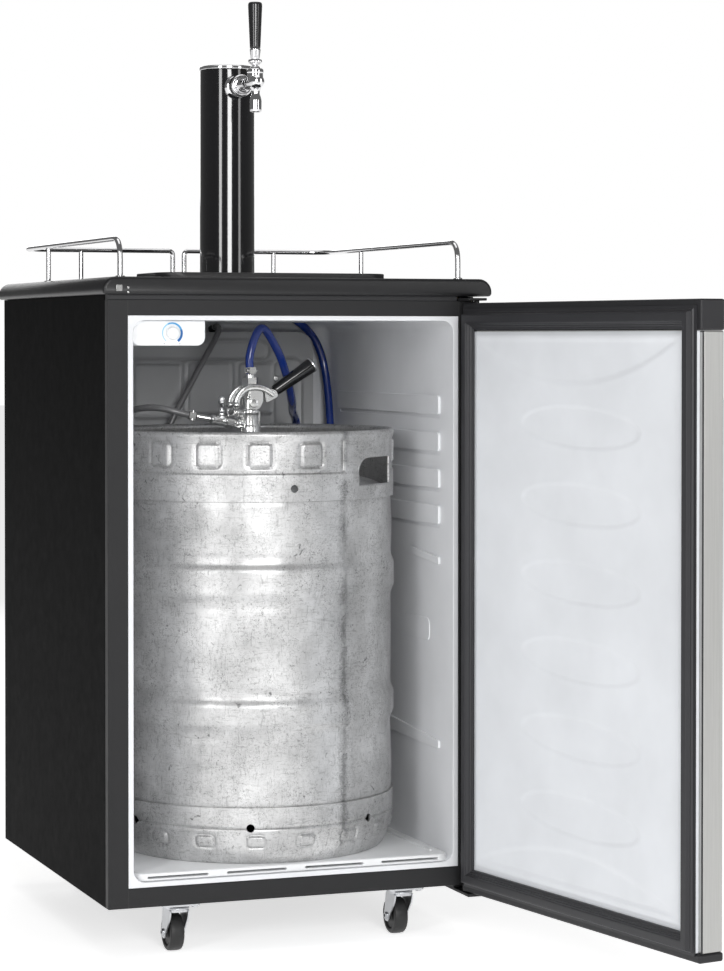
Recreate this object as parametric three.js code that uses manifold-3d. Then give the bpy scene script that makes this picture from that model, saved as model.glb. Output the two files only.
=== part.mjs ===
// Kegerator: a keg refrigerator on casters with a one-tap beer tower, standing with its door open.
// Millimetres, +Z up. While it is being built, x = 0 is the middle of the cabinet, y = 0 is its front
// face (the door side faces -Y) and z = 0 is the floor.
import * as THREE from 'three';
import { mergeVertices } from 'three/addons/utils/BufferGeometryUtils.js';
import Module from 'manifold-3d';

const wasm = await Module();
wasm.setup();

// ---------- Driving dimensions ----------
const cabinet = { width: 524, depth: 570, bottom: 69, top: 875 };
const gap = 0.3;                     // air between touching pieces
const sheet = 1.5;                   // steel sheet
const plastic = 2.5;                 // vacuum-formed liner
const inside = { halfWidth: 227, depth: 500, floor: 102, ceiling: 842 };
const step = { front: 406, top: 300 };          // the liner steps up over the compressor bay
const frame = { depth: 14, halfOpening: 234.5, low: 95, high: 848.5, top: 869 };
const top = {
  width: 540, hingeOverhang: 11, front: -8, back: 575, bottom: cabinet.top + gap, high: 899, edgeRadius: 18,
};
const tower = { y: 300, radius: 39, wall: 2, top: 1207 };
const keg = { y: 197, radius: 198, ringRadius: 203, bottom: 113.3, top: 693 };
const door = { width: 526, low: 64, high: 866, thickness: 35.5, openAngle: 100, gasket: 11.5 };
const hinge = { x: 250, y: -26, inset: 13, fromInner: 14, pinRadius: 3.5 };
const caster = { x: 160, frontY: 28, rearY: 480, plate: 52, wheelRadius: 25, trail: 18 };
const halfWidth = cabinet.width / 2;

// ---------- Materials ----------
function paint(color, roughness, metalness = 0) {
  return new THREE.MeshStandardMaterial({ color, roughness, metalness });
}
const blackSteel = paint(0x151516, 0.35);
const frameGrey = paint(0x3c3c3e, 0.45);
const blackPlastic = paint(0x1b1b1d, 0.4);
const greyPlastic = paint(0x3a3b3f, 0.5);
const whitePlastic = paint(0xe4e6e8, 0.35);
const foamYellow = paint(0xd9c98f, 0.9);
const aluminium = paint(0xa3a6a8, 0.4, 0.8);
const chrome = paint(0xd8dadc, 0.12, 1);
const zinc = paint(0xc2c5c8, 0.35, 0.9);
const stainless = paint(0xc8c8c5, 0.35, 0.9);
const kegSteel = paint(0xb9babb, 0.45, 0.9);
const beerBlue = paint(0x142a86, 0.25);
const hoseGrey = paint(0x55575a, 0.5);
const rubber = paint(0x1a1a1a, 0.7);
const glossBlack = paint(0x0a0a0b, 0.1);

// ---------- Solids ----------
// Turns a closed three.js geometry into a manifold solid with its faces pointing out.
function solid(geometry) {
  const bare = new THREE.BufferGeometry();
  bare.setAttribute('position', geometry.getAttribute('position'));
  if (geometry.index) bare.setIndex(geometry.index);
  const merged = mergeVertices(bare, 1e-3);
  const corner = merged.index.array;
  const triVerts = [];
  for (let i = 0; i < corner.length; i += 3) {
    const [a, b, c] = [corner[i], corner[i + 1], corner[i + 2]];
    if (a !== b && b !== c && c !== a) triVerts.push(a, b, c);
  }
  const vertProperties = new Float32Array(merged.getAttribute('position').array);
  const build = (triangles) => new wasm.Manifold(
    new wasm.Mesh({ numProp: 3, vertProperties, triVerts: new Uint32Array(triangles) }));
  const first = build(triVerts);
  if (first.volume() > 0) return first;
  return build(triVerts.reverse());
}

function join(first, ...others) {
  return others.reduce((sum, other) => sum.add(other), first);
}

function cut(body, ...tools) {
  return tools.reduce((rest, tool) => rest.subtract(tool), body);
}

// A box from its low and high limits along x, y and z.
function box([x0, x1], [y0, y1], [z0, z1]) {
  const geometry = new THREE.BoxGeometry(x1 - x0, y1 - y0, z1 - z0);
  geometry.translate((x0 + x1) / 2, (y0 + y1) / 2, (z0 + z1) / 2);
  return solid(geometry);
}

// A round bar or cone from one point to another.
function rod(radius, from, to, endRadius = radius, sides = 12) {
  const start = new THREE.Vector3(...from);
  const axis = new THREE.Vector3(...to).sub(start);
  const geometry = new THREE.CylinderGeometry(endRadius, radius, axis.length(), sides);
  geometry.translate(0, axis.length() / 2, 0);
  const up = new THREE.Vector3(0, 1, 0);
  geometry.applyQuaternion(new THREE.Quaternion().setFromUnitVectors(up, axis.clone().normalize()));
  geometry.translate(...from);
  return solid(geometry);
}

function ball(radius, [x, y, z]) {
  const geometry = new THREE.SphereGeometry(radius, 12, 8);
  geometry.translate(x, y, z);
  return solid(geometry);
}

// A turned solid: the outline is [radius, height] pairs, and the axis is upright through (x, y).
function turned(outline, x, y, sides = 20) {
  const points = outline.map(([r, z]) => new THREE.Vector2(r, z));
  const geometry = new THREE.LatheGeometry(points, sides);
  geometry.rotateX(Math.PI / 2);
  geometry.translate(x, y, 0);
  return solid(geometry);
}

// A flat outline in x and z, given depth along y from y0 to y1.
function slab(shape, y0, y1, curveSegments = 4) {
  const geometry = new THREE.ExtrudeGeometry(shape, { depth: y1 - y0, bevelEnabled: false, curveSegments });
  geometry.rotateX(Math.PI / 2);
  geometry.translate(0, y1, 0);
  return solid(geometry);
}

// A flat outline in x and y, given height along z from z0 to z1.
function plate(shape, z0, z1, curveSegments = 4) {
  const geometry = new THREE.ExtrudeGeometry(shape, { depth: z1 - z0, bevelEnabled: false, curveSegments });
  geometry.translate(0, 0, z0);
  return solid(geometry);
}

// A rectangle with its four corners rounded: bottom left, bottom right, top right, top left.
function roundedRectangle(x0, x1, y0, y1, radii) {
  const [a, b, c, d] = Array.isArray(radii) ? radii : [radii, radii, radii, radii];
  const shape = new THREE.Shape();
  shape.moveTo(x0 + a, y0);
  shape.lineTo(x1 - b, y0);
  if (b > 0) shape.absarc(x1 - b, y0 + b, b, -Math.PI / 2, 0);
  shape.lineTo(x1, y1 - c);
  if (c > 0) shape.absarc(x1 - c, y1 - c, c, 0, Math.PI / 2);
  shape.lineTo(x0 + d, y1);
  if (d > 0) shape.absarc(x0 + d, y1 - d, d, Math.PI / 2, Math.PI);
  shape.lineTo(x0, y0 + a);
  if (a > 0) shape.absarc(x0 + a, y0 + a, a, Math.PI, Math.PI * 1.5);
  return shape;
}

// A path through listed points that an extrusion steps through point by point.
class Stations extends THREE.Curve {
  constructor(points) {
    super();
    this.points = points;
  }

  getPoint(t, target = new THREE.Vector3()) {
    const position = Math.min(Math.max(t, 0), 1) * (this.points.length - 1);
    const index = Math.min(Math.floor(position), this.points.length - 2);
    return target.lerpVectors(this.points[index], this.points[index + 1], position - index);
  }

  getUtoTmapping(u) {
    return u;
  }
}

// A pipe along straight runs, with each corner bent to a radius in a few short steps.
function pipe(corners, radius, bend, sides = 8, bendSteps = 3) {
  const points = corners.map((corner) => new THREE.Vector3(...corner));
  const stations = [points[0]];
  for (let i = 1; i < points.length - 1; i += 1) {
    const before = points[i - 1].clone().sub(points[i]).setLength(bend).add(points[i]);
    const after = points[i + 1].clone().sub(points[i]).setLength(bend).add(points[i]);
    const arc = new THREE.QuadraticBezierCurve3(before, points[i], after);
    stations.push(...arc.getPoints(bendSteps));
  }
  stations.push(points[points.length - 1]);
  return sweep(new Stations(stations), stations.length - 1, radius, sides);
}

// A hose along a smooth curve through its points.
function hose(points, radius, steps, sides = 8) {
  const curve = new THREE.CatmullRomCurve3(points.map((point) => new THREE.Vector3(...point)));
  return sweep(curve, steps, radius, sides);
}

function sweep(curve, steps, radius, sides) {
  const section = new THREE.Shape();
  for (let i = 0; i < sides; i += 1) {
    const angle = (i / sides) * 2 * Math.PI;
    const place = [radius * Math.cos(angle), radius * Math.sin(angle)];
    if (i === 0) section.moveTo(...place);
    else section.lineTo(...place);
  }
  return solid(new THREE.ExtrudeGeometry(section, { steps, bevelEnabled: false, extrudePath: curve }));
}

const kegerator = new THREE.Group();

function add(name, body, material, parent = kegerator) {
  const { numProp, vertProperties, triVerts } = body.getMesh();
  const geometry = new THREE.BufferGeometry();
  const positions = new Float32Array((vertProperties.length / numProp) * 3);
  for (let i = 0; i < positions.length / 3; i += 1) {
    for (let k = 0; k < 3; k += 1) positions[3 * i + k] = vertProperties[numProp * i + k];
  }
  geometry.setAttribute('position', new THREE.BufferAttribute(positions, 3));
  geometry.setIndex(new THREE.BufferAttribute(new Uint32Array(triVerts), 1));
  geometry.computeVertexNormals();
  const mesh = new THREE.Mesh(geometry, material);
  mesh.name = name;
  parent.add(mesh);
}

// ---------- Hose routes ----------
// The beer hose climbs from the coupler, drops behind the keg, rises behind the evaporator plate,
// crosses the roof foam and goes up the tower to the tap's shank.
const tapHeight = 1175;
const beerRoute = [
  [0, keg.y, 778], [0, keg.y, 800], [18, keg.y + 4, 832.5], [40, keg.y + 16, 806], [66, 232, 752],
  [112, 318, 716], [146, 383, 690], [158, 424, 640], [182, 438, 600], [212, 446, 622], [219, 468, 689],
  [216, 485, 773], [203, 486, 812], [183, 480, 834], [152, 462, 850], [100, 410, 855], [40, 335, 855],
  [4, 304, 872], [0, 300, 905], [0, 300, 1000], [0, 296, 1100], [0, 292, 1148],
];
const beerHoseRadius = 5;

// The gas hose comes in high through the rear wall, hangs over the evaporator plate, loops behind the
// keg and comes back over the keg's rim to the gas valve.
const gasStart = 672;
const gasRoute = [
  [115, 650, gasStart], [114, 648, 700], [96, 632, 770], [64, 606, 822], [46, 582, 834], [44, 550, 835],
  [44, 480, 835],
  [34, 452, 824], [-6, 436, 762], [-46, 428, 692], [-74, 430, 622], [-112, 424, 580], [-150, 396, 600],
  [-160, 352, 680], [-158, 300, 706], [-150, 250, 719], [-128, 208, 721], [-97, keg.y, 713],
  [-81, keg.y, 709.6],
];
const gasHoseRadius = 4.5;

// ---------- Cabinet ----------
function towerHole(z0, z1) {
  return rod(22, [0, tower.y, z0], [0, tower.y, z1], 22, 16);
}

const channelSides = 6;
const beerChannel = hose(beerRoute, beerHoseRadius + 3.5, 44, channelSides);
const gasChannel = hose(gasRoute, gasHoseRadius + 2, 44, channelSides);

function cabinetShell() {
  const outside = box([-halfWidth, halfWidth], [frame.depth + gap, cabinet.depth],
    [cabinet.bottom, cabinet.top]);
  const reach = halfWidth - sheet;
  const hollow = box([-reach, reach], [0, cabinet.depth + 1], [0, cabinet.top - sheet]);
  return cut(outside, hollow, towerHole(cabinet.bottom, cabinet.top + 1));
}
add('cabinet_shell', cabinetShell(), blackSteel);

function frontFrame() {
  const outside = box([-halfWidth, halfWidth], [0, frame.depth], [cabinet.bottom, frame.top]);
  const opening = box([-frame.halfOpening, frame.halfOpening], [-1, frame.depth + 1],
    [frame.low, frame.high]);
  return cut(outside, opening);
}
add('front_frame', frontFrame(), frameGrey);

// The liner's volume grown by some distance, with its step over the compressor bay.
function linerVolume(grow, front, back) {
  const reach = inside.halfWidth + grow;
  const room = box([-reach, reach], [front, back + grow], [inside.floor - grow, inside.ceiling + grow]);
  const underStep = box([-300, 300], [step.front + grow, 600], [0, step.top - grow]);
  return cut(room, underStep);
}

function innerLiner() {
  const reach = frame.halfOpening - gap;
  const flange = box([-reach, reach], [0, 3], [frame.low + gap, frame.high - gap]);
  const outside = join(linerVolume(plastic, 2, inside.depth), flange);
  return cut(outside, linerVolume(0, -1, inside.depth), towerHole(800, 900), beerChannel, gasChannel);
}
add('inner_liner', innerLiner(), whitePlastic);

const bay = { halfWidth: 225, front: 434, top: 272 };
const foamReach = halfWidth - sheet - gap;
const foamBack = cabinet.depth - sheet - 2 * gap;

function insulationFoam() {
  const block = box([-foamReach, foamReach], [frame.depth + gap, foamBack],
    [cabinet.bottom + sheet + gap, cabinet.top - sheet - gap]);
  const compressorBay = box([-bay.halfWidth, bay.halfWidth], [bay.front, 600], [0, bay.top]);
  return cut(block, linerVolume(plastic + gap, -1, inside.depth), compressorBay, towerHole(800, 900),
    beerChannel, gasChannel);
}
add('insulation_foam', insulationFoam(), foamYellow);

add('base_pan', box([-foamReach, foamReach], [frame.depth + gap, foamBack],
  [cabinet.bottom, cabinet.bottom + sheet]), blackSteel);

const panelBack = cabinet.depth;
add('back_panel', cut(
  box([-foamReach, foamReach], [foamBack + gap, panelBack], [bay.top + gap, cabinet.top - sheet - gap]),
  gasChannel), blackSteel);

function countertop() {
  const half = top.width / 2;
  const corners = [0, 0, top.edgeRadius, top.edgeRadius];
  const right = half + top.hingeOverhang;
  const outline = roundedRectangle(-half, right, top.bottom, top.high, corners);
  return cut(slab(outline, top.front, top.back), towerHole(800, 1000));
}
add('countertop', countertop(), blackPlastic);

const floorPlate = { halfWidth: 222, front: 4, back: 402, top: keg.bottom - gap, thickness: 2.5 };
function kegFloorPlate() {
  const { halfWidth: reach, front, back, top: high, thickness } = floorPlate;
  const low = inside.floor + gap;
  const hollow = box([thickness - reach, reach - thickness], [front + thickness, back + 1],
    [low - 1, high - thickness]);
  return cut(box([-reach, reach], [front, back], [low, high]), hollow);
}
add('keg_floor_plate', kegFloorPlate(), whitePlastic);

// ---------- Cooling ----------
const evaporator = { left: -212, right: 192, low: 470, high: 827.5, front: 469, thickness: 3 };
function evaporatorPlate() {
  const { left, right, low, high, front, thickness } = evaporator;
  const sheetOutline = roundedRectangle(left, right, low, high, [12, 12, 26, 26]);
  const body = slab(sheetOutline, front, front + thickness);
  const pegs = [];
  for (const x of [left + 25, right - 60]) {
    for (const z of [low + 25, high - 70]) {
      pegs.push(rod(5, [x, front + 1, z], [x, inside.depth - gap, z], 5, 6));
    }
  }
  return join(body, ...pegs);
}
add('evaporator_plate', evaporatorPlate(), aluminium);

const control = { left: -226.5, right: -125, low: 808.5, front: 10, back: 78, knobX: -171, knobZ: 825 };
function thermostatHousing() {
  const { left, right, low, knobX, knobZ } = control;
  const outline = roundedRectangle(left, right, low, inside.ceiling - gap, [10, 10, 0, 0]);
  const bore = rod(3.3, [knobX, 5, knobZ], [knobX, 24, knobZ], 3.3, 12);
  return cut(slab(outline, control.front, control.back), bore);
}
add('thermostat_housing', thermostatHousing(), whitePlastic);

function thermostatKnob() {
  const { knobX, knobZ } = control;
  const at = (y) => [knobX, y, knobZ];
  const dial = rod(8, at(3), at(control.front - gap), 8.5, 20);
  const pointer = box([knobX - 1.2, knobX + 1.2], [2, 4], [knobZ - 6.5, knobZ + 6.5]);
  return join(dial, pointer, rod(3, at(control.front - 1), at(23), 3, 12));
}
add('thermostat_knob', thermostatKnob(), whitePlastic);

const compressorAt = { x: -70, y: 501 };
function compressor() {
  const low = cabinet.bottom + sheet + gap;
  const { x, y } = compressorAt;
  const outline = [[0, low + 20], [44, low + 22], [58, low + 36], [58, low + 108], [42, low + 134],
    [0, low + 142]];
  const feet = box([x - 78, x + 78], [y - 40, y + 40], [low + 14, low + 24]);
  const bushes = [-66, 66].flatMap((dx) => [-28, 28].map(
    (dy) => rod(9, [x + dx, y + dy, low], [x + dx, y + dy, low + 16], 9, 8)));
  return join(turned(outline, x, y, 16), feet, ...bushes);
}
add('compressor', compressor(), blackSteel);

const coil = { left: -235, right: 40, low: 330, pitch: 60, rows: 8, front: panelBack + 8, thickness: 5 };
function condenserCoil() {
  const half = coil.thickness / 2;
  const depth = [coil.front, coil.front + coil.thickness];
  const runs = [];
  for (let row = 0; row < coil.rows; row += 1) {
    const z = coil.low + row * coil.pitch;
    runs.push(box([coil.left, coil.right], depth, [z - half, z + half]));
    if (row === coil.rows - 1) continue;
    const end = row % 2 === 0 ? coil.right - coil.thickness : coil.left;
    runs.push(box([end, end + coil.thickness], depth, [z - half, z + coil.pitch + half]));
  }
  const height = coil.pitch * (coil.rows - 1);
  for (const x of [coil.left + 40, coil.right - 60]) {
    runs.push(box([x, x + 16], [panelBack + gap, coil.front + 1], [coil.low - 8, coil.low + height + 8]));
  }
  return join(...runs);
}
add('condenser_coil', condenserCoil(), blackSteel);

add('power_inlet', join(
  box([-244, -204], [panelBack + gap, panelBack + 5], [284, 312]),
  box([-238, -210], [panelBack + 4, panelBack + 12], [288, 308])), blackPlastic);

// ---------- Guard rails ----------
const rail = {
  side: 240, front: 17, back: 538, height: top.high + 51, radius: 3.2, end: 9, bend: 15,
  sidePost: 391, rearPost: 152,
};
function guardRail(side) {
  const foot = top.high + gap;
  const x = side * rail.side;
  const endX = side * rail.end;
  const route = [[x, rail.front, foot], [x, rail.front, rail.height], [x, rail.back, rail.height],
    [endX, rail.back, rail.height], [endX, rail.back, foot]];
  const post = (px, py) => rod(rail.radius, [px, py, foot], [px, py, rail.height], rail.radius, 8);
  const posts = join(post(x, rail.sidePost), post(side * rail.rearPost, rail.back));
  return join(pipe(route, rail.radius, rail.bend), posts);
}
add('guard_rail_left', guardRail(-1), chrome);
add('guard_rail_right', guardRail(1), chrome);

// ---------- Beer tower and tap ----------
const shankHole = 12;
function towerColumn() {
  const low = top.high + gap;
  const inner = tower.radius - tower.wall;
  const high = tower.top - 6;
  const outline = [[inner, low], [52, low], [52, low + 5], [tower.radius, low + 6], [tower.radius, high],
    [inner, high], [inner, low]];
  const hole = rod(shankHole, [0, tower.y, tapHeight], [0, tower.y - 60, tapHeight]);
  return cut(turned(outline, 0, tower.y, 32), hole);
}
add('tower_column', towerColumn(), glossBlack);

function towerCap() {
  const seat = tower.top - 6 + gap;
  const plug = tower.radius - tower.wall - gap;
  const outline = [[0, seat - 11], [plug, seat - 11], [plug, seat], [tower.radius, seat],
    [tower.radius, tower.top - 2], [tower.radius - 3, tower.top], [0, tower.top + 1]];
  return turned(outline, 0, tower.y, 32);
}
add('tower_cap', towerCap(), chrome);

const tap = { y: 174, pivotZ: tapHeight + 16, ballRadius: 8 };
function faucetShank() {
  const along = (radius, y0, y1, endRadius = radius) => rod(
    radius, [0, y0, tapHeight], [0, y1, tapHeight], endRadius, 16);
  const wallFace = tower.y - tower.radius;
  const tail = pipe([[0, 274, tapHeight], [0, 292, tapHeight], [0, 292, 1148 + 2 * gap]], 4.2, 8, 6);
  const collar = along(17, wallFace - gap, wallFace - 8, 15);
  return join(along(11, 276, 228), collar, along(15.5, 246, 229), tail);
}
add('faucet_shank', faucetShank(), chrome);

function faucetBody() {
  const barrel = rod(10.5, [0, 228 - gap, tapHeight], [0, 160, tapHeight]);
  const nose = ball(9, [0, 159, tapHeight]);
  const bonnet = rod(11, [0, tap.y, tapHeight], [0, tap.y, tap.pivotZ + 2]);
  const spout = rod(7.2, [0, tap.y - 2, tapHeight - 4], [0, tap.y - 2, 1133], 6.2);
  const bore = rod(4.4, [0, tap.y - 2, 1160], [0, tap.y - 2, 1130], 4.4, 12);
  const cup = ball(tap.ballRadius + 0.5, [0, tap.y, tap.pivotZ]);
  return cut(join(barrel, nose, bonnet, spout), bore, cup);
}
add('faucet_body', faucetBody(), chrome);

const handleFoot = 1221;
function faucetLever() {
  const up = (radius, z0, z1, endRadius = radius) => rod(radius, [0, tap.y, z0], [0, tap.y, z1], endRadius);
  const collar = up(7.6, tap.pivotZ + 12, tap.pivotZ + 15.5);
  const stem = up(4.5, tap.pivotZ + 4, handleFoot - 4);
  const ferrule = up(5.8, tap.pivotZ + 17, handleFoot - gap, 7.4);
  return join(ball(tap.ballRadius, [0, tap.y, tap.pivotZ]), stem, collar, ferrule);
}
add('faucet_lever', faucetLever(), chrome);

add('tap_handle', rod(7.3, [0, tap.y, handleFoot], [0, tap.y, 1286], 10, 16), blackPlastic);

// ---------- Drip tray ----------
const tray = { halfLength: 165, front: 76, back: 226, height: 8, wall: 2, radius: 34 };
function trayOutline(inset) {
  const reach = tray.halfLength - inset;
  return roundedRectangle(-reach, reach, tray.front + inset, tray.back - inset, tray.radius - inset);
}
const trayFoot = top.high + gap;
const trayTop = trayFoot + tray.height;
add('drip_tray', cut(plate(trayOutline(0), trayFoot, trayTop),
  plate(trayOutline(6), trayFoot + tray.wall, trayTop + 1),
  plate(trayOutline(3), trayTop - 1.5, trayTop + 1)), blackPlastic);

function dripGrate() {
  const base = trayTop - 1.5 + gap;
  const slots = [];
  for (let x = -125; x <= 125; x += 50) {
    slots.push(box([x - 20, x + 20], [tray.front + 28, tray.back - 28], [base - 1, trayTop + 1]));
  }
  return cut(plate(trayOutline(3 + gap), base, trayTop), ...slots);
}
add('drip_grate', dripGrate(), greyPlastic);

// ---------- Keg ----------
const kegWall = 2.5;
const neckTop = 664;
const kegSides = 32;
function kegShell() {
  const { radius: body, ringRadius: ring } = keg;
  const seat = body - 1.4;
  const outer = [[30, neckTop], [30, 652], [100, 640], [178, 618], [seat, 606], [seat, 598], [body, 594],
    [body, 520], [ring, 514], [ring, 470], [body, 464], [body, 338], [ring, 332], [ring, 296], [body, 290],
    [body, 196], [seat, 192], [seat, 184], [168, 168], [0, 152]];
  const hollow = body - kegWall;
  const inner = [[0, 152 + kegWall], [166, 171], [hollow - 1.4, 187], [hollow, 600], [174, 616], [98, 637],
    [30 - kegWall, 650], [30 - kegWall, neckTop], [30, neckTop]];
  return turned([...outer, ...inner], 0, keg.y, kegSides);
}
add('keg_shell', kegShell(), kegSteel);

const handleAngle = 42;              // the first hand hole, turned from -Y towards +X
function handHole(turnDegrees) {
  const geometry = new THREE.BoxGeometry(94, 60, 40);
  geometry.translate(0, -keg.radius, 637);
  geometry.rotateZ((turnDegrees * Math.PI) / 180);
  geometry.translate(0, keg.y, 0);
  return solid(geometry);
}
const chimeInner = keg.radius - 1;
const chimeOuter = keg.radius + 2;
function kegTopChime() {
  const outline = [[chimeInner, 599.5], [chimeOuter, 599.5], [chimeOuter, 676], [keg.ringRadius, 681],
    [chimeOuter - 1, keg.top], [chimeOuter - 7, 688], [chimeInner, 676], [chimeInner, 599.5]];
  return cut(turned(outline, 0, keg.y, kegSides), handHole(handleAngle), handHole(handleAngle + 180));
}
add('keg_top_chime', kegTopChime(), kegSteel);

function kegBottomChime() {
  const foot = keg.bottom;
  const outline = [[chimeInner, 190.5], [chimeInner, 160], [187, 126], [180, foot + 3], [186, foot],
    [195, 128], [chimeOuter, 156], [chimeOuter, 190.5], [chimeInner, 190.5]];
  return turned(outline, 0, keg.y, kegSides);
}
add('keg_bottom_chime', kegBottomChime(), kegSteel);

// The neck valve that the coupler opens, with the spear that reaches to the bottom of the keg.
function kegValve() {
  const rim = 30 - kegWall - gap;
  const outline = [[0, 200], [6, 200], [6, 640], [rim, 642], [rim, neckTop], [15, neckTop], [15, 656],
    [0, 656]];
  return turned(outline, 0, keg.y, 16);
}
add('keg_valve', kegValve(), chrome);

// ---------- Keg coupler ----------
// The lever's yoke straddles the body on a cross pin. Pulling the grip down drives the probe down.
const coupler = {
  foot: neckTop + gap, radius: 12, top: 738, pivotZ: 727, bore: 9, armInner: 12.6, armOuter: 16.6,
};
function couplerBody() {
  const { foot, radius, top: high, bore, pivotZ, armOuter } = coupler;
  const outline = [[bore, foot], [25, foot], [27, foot + 2], [27, foot + 11], [17, foot + 16],
    [radius, foot + 24], [radius, high], [bore, high], [bore, foot]];
  const pin = (y0, y1) => rod(4, [0, keg.y + y0, pivotZ], [0, keg.y + y1, pivotZ], 4, 12);
  const port = rod(6.5, [-10, keg.y, 697.4], [-24, keg.y, 699.8], 6.5, 12);
  const hollow = rod(bore, [0, keg.y, foot + 20], [0, keg.y, high + 1]);
  const pins = join(pin(-armOuter - 1, -bore - 1), pin(bore + 1, armOuter + 1));
  return cut(join(turned(outline, 0, keg.y, 16), pins, port), hollow);
}
add('coupler_body', couplerBody(), chrome);

function couplerProbe() {
  const up = (radius, z0, z1, sides = 16) => rod(radius, [0, keg.y, z0], [0, keg.y, z1], radius, sides);
  const hexNut = up(10.8, 751, 764, 6);
  const barb = join(up(7, 763, 768), up(3.6, 767, 800, 10));
  return join(up(coupler.bore - gap, 700, 752), hexNut, barb);
}
add('coupler_probe', couplerProbe(), chrome);

const gripFrom = [36, 743.9];
const gripTo = [92, 780.5];
function couplerLever() {
  const { pivotZ, armInner, armOuter } = coupler;
  const outline = new THREE.Shape();
  outline.moveTo(-26, pivotZ - 5);
  outline.bezierCurveTo(-22, pivotZ + 16, 8, pivotZ + 27, 34, pivotZ + 8);
  outline.lineTo(27, pivotZ + 2);
  outline.lineTo(9, pivotZ - 7);
  outline.lineTo(-9, pivotZ - 7);
  outline.lineTo(-18, pivotZ - 7);
  outline.closePath();
  const wide = slab(outline, keg.y - armOuter, keg.y + armOuter, 6);
  const slot = box([-40, 22], [keg.y - armInner, keg.y + armInner], [pivotZ - 30, pivotZ + 40]);
  const pinHole = rod(4.3, [0, keg.y - 30, pivotZ], [0, keg.y + 30, pivotZ], 4.3, 12);
  const stem = rod(4.5, [25, keg.y, 736], [gripTo[0] - 4, keg.y, gripTo[1] - 2.6], 4.5, 10);
  return join(cut(wide, slot, pinHole), stem);
}
add('coupler_lever', couplerLever(), chrome);

function couplerGrip() {
  const at = ([x, z]) => [x, keg.y, z];
  const bore = rod(4.8, [25, keg.y, 736], [gripTo[0] - 3.6, keg.y, gripTo[1] - 2.4], 4.8, 10);
  return cut(rod(6.8, at(gripFrom), at(gripTo), 9.6), bore);
}
add('coupler_grip', couplerGrip(), glossBlack);

// The gas check valve screws to the coupler's side port and its quarter-turn lever stands on top.
const valveFrom = new THREE.Vector3(-24.4, keg.y, 699.9);
const valveTo = new THREE.Vector3(-64, keg.y, 706.7);
const valveMiddle = new THREE.Vector3(-42, keg.y, 703);
function gasValveBody() {
  const axis = valveTo.clone().sub(valveFrom).normalize();
  const along = (distance) => valveFrom.clone().addScaledVector(axis, distance).toArray();
  const stem = rod(4.5, [valveMiddle.x, keg.y, 703], [valveMiddle.x, keg.y, 714], 4.5, 12);
  const nut = rod(8, along(0), along(12), 8, 6);
  const barb = rod(5, along(30), along(56.2), 5, 10);
  return join(nut, rod(7, along(11), along(31), 7), barb, stem);
}
add('gas_valve_body', gasValveBody(), chrome);

function gasValveLever() {
  const { x } = valveMiddle;
  const hub = rod(5.2, [x, keg.y, 714 + gap], [x, keg.y, 719], 5.2, 12);
  const blade = box([x - 2, x + 2], [keg.y - 4.5, keg.y + 4.5], [718, 736]);
  return join(hub, blade);
}
add('gas_valve_lever', gasValveLever(), chrome);

// ---------- Hoses ----------
function beerHose() {
  const sleeve = rod(3.9, [0, keg.y, 770], [0, keg.y, 801], 3.9, 10);
  return cut(hose(beerRoute, beerHoseRadius, 58), sleeve);
}
add('beer_hose', beerHose(), beerBlue);
add('gas_hose', hose(gasRoute, gasHoseRadius, 52), hoseGrey);

// ---------- Gas supply on the back ----------
const cylinder = { x: 160, y: 650, radius: 66, low: 232, high: 600 };
function co2Cylinder() {
  const { x, y, radius, low, high } = cylinder;
  const outline = [[0, low + 3], [radius - 14, low], [radius - 4, low + 4], [radius, low + 14],
    [radius, high - 60], [radius - 6, high - 36], [radius - 24, high - 14], [20, high], [14, high + 4],
    [14, high + 12], [9, high + 14], [9, high + 30], [12, high + 30], [12, high + 58], [5, high + 60],
    [5, high + 72], [0, high + 72]];
  return turned(outline, x, y, 20);
}
add('co2_cylinder', co2Cylinder(), aluminium);

function co2Bracket() {
  const { x, y, radius, low } = cylinder;
  const wall = panelBack + gap;
  const shelfLow = low - 3 - gap;
  const back = box([x - 60, x + 60], [wall, wall + 3], [shelfLow, low + 250]);
  const shelfOutline = roundedRectangle(x - 60, x + 60, wall, y + 60, [0, 0, 40, 40]);
  const shelf = plate(shelfOutline, shelfLow, shelfLow + 3);
  const [bandLow, bandHigh] = [low + 190, low + 214];
  const band = turned([[radius + gap, bandLow], [radius + 2.5, bandLow], [radius + 2.5, bandHigh],
    [radius + gap, bandHigh], [radius + gap, bandLow]], x, y, 20);
  const room = rod(radius + gap, [x, y, bandLow - 1], [x, y, bandHigh + 1], radius + gap, 20);
  const arm = cut(box([x - 40, x + 40], [wall, y - 40], [bandLow, bandHigh]), room);
  return join(back, shelf, band, arm);
}
add('co2_bracket', co2Bracket(), zinc);

const regulator = { x: 115, z: cylinder.high + 46, radius: 17 };
function co2Regulator() {
  const { x, z, radius } = regulator;
  const { x: neckX, y } = cylinder;
  const nut = rod(11, [neckX - 12.4, y, z], [neckX - 22, y, z], 11, 6);
  const inlet = rod(6, [neckX - 21, y, z], [x, y, z], 6, 10);
  const body = rod(radius, [x, y - 16, z], [x, y + 22, z], radius, 16);
  const gauge = (dx, dz) => join(
    rod(3.5, [x, y, z], [x + dx, y, z + dz], 3.5, 8),
    rod(18, [x + dx, y - 4, z + dz], [x + dx, y + 14, z + dz], 18, 14));
  const barb = rod(3.6, [x, y, z + 10], [x, y, gasStart - gap], 3.6, 10);
  return join(nut, inlet, body, gauge(-36, 0), gauge(0, -38), barb);
}
add('co2_regulator', co2Regulator(), chrome);

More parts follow.
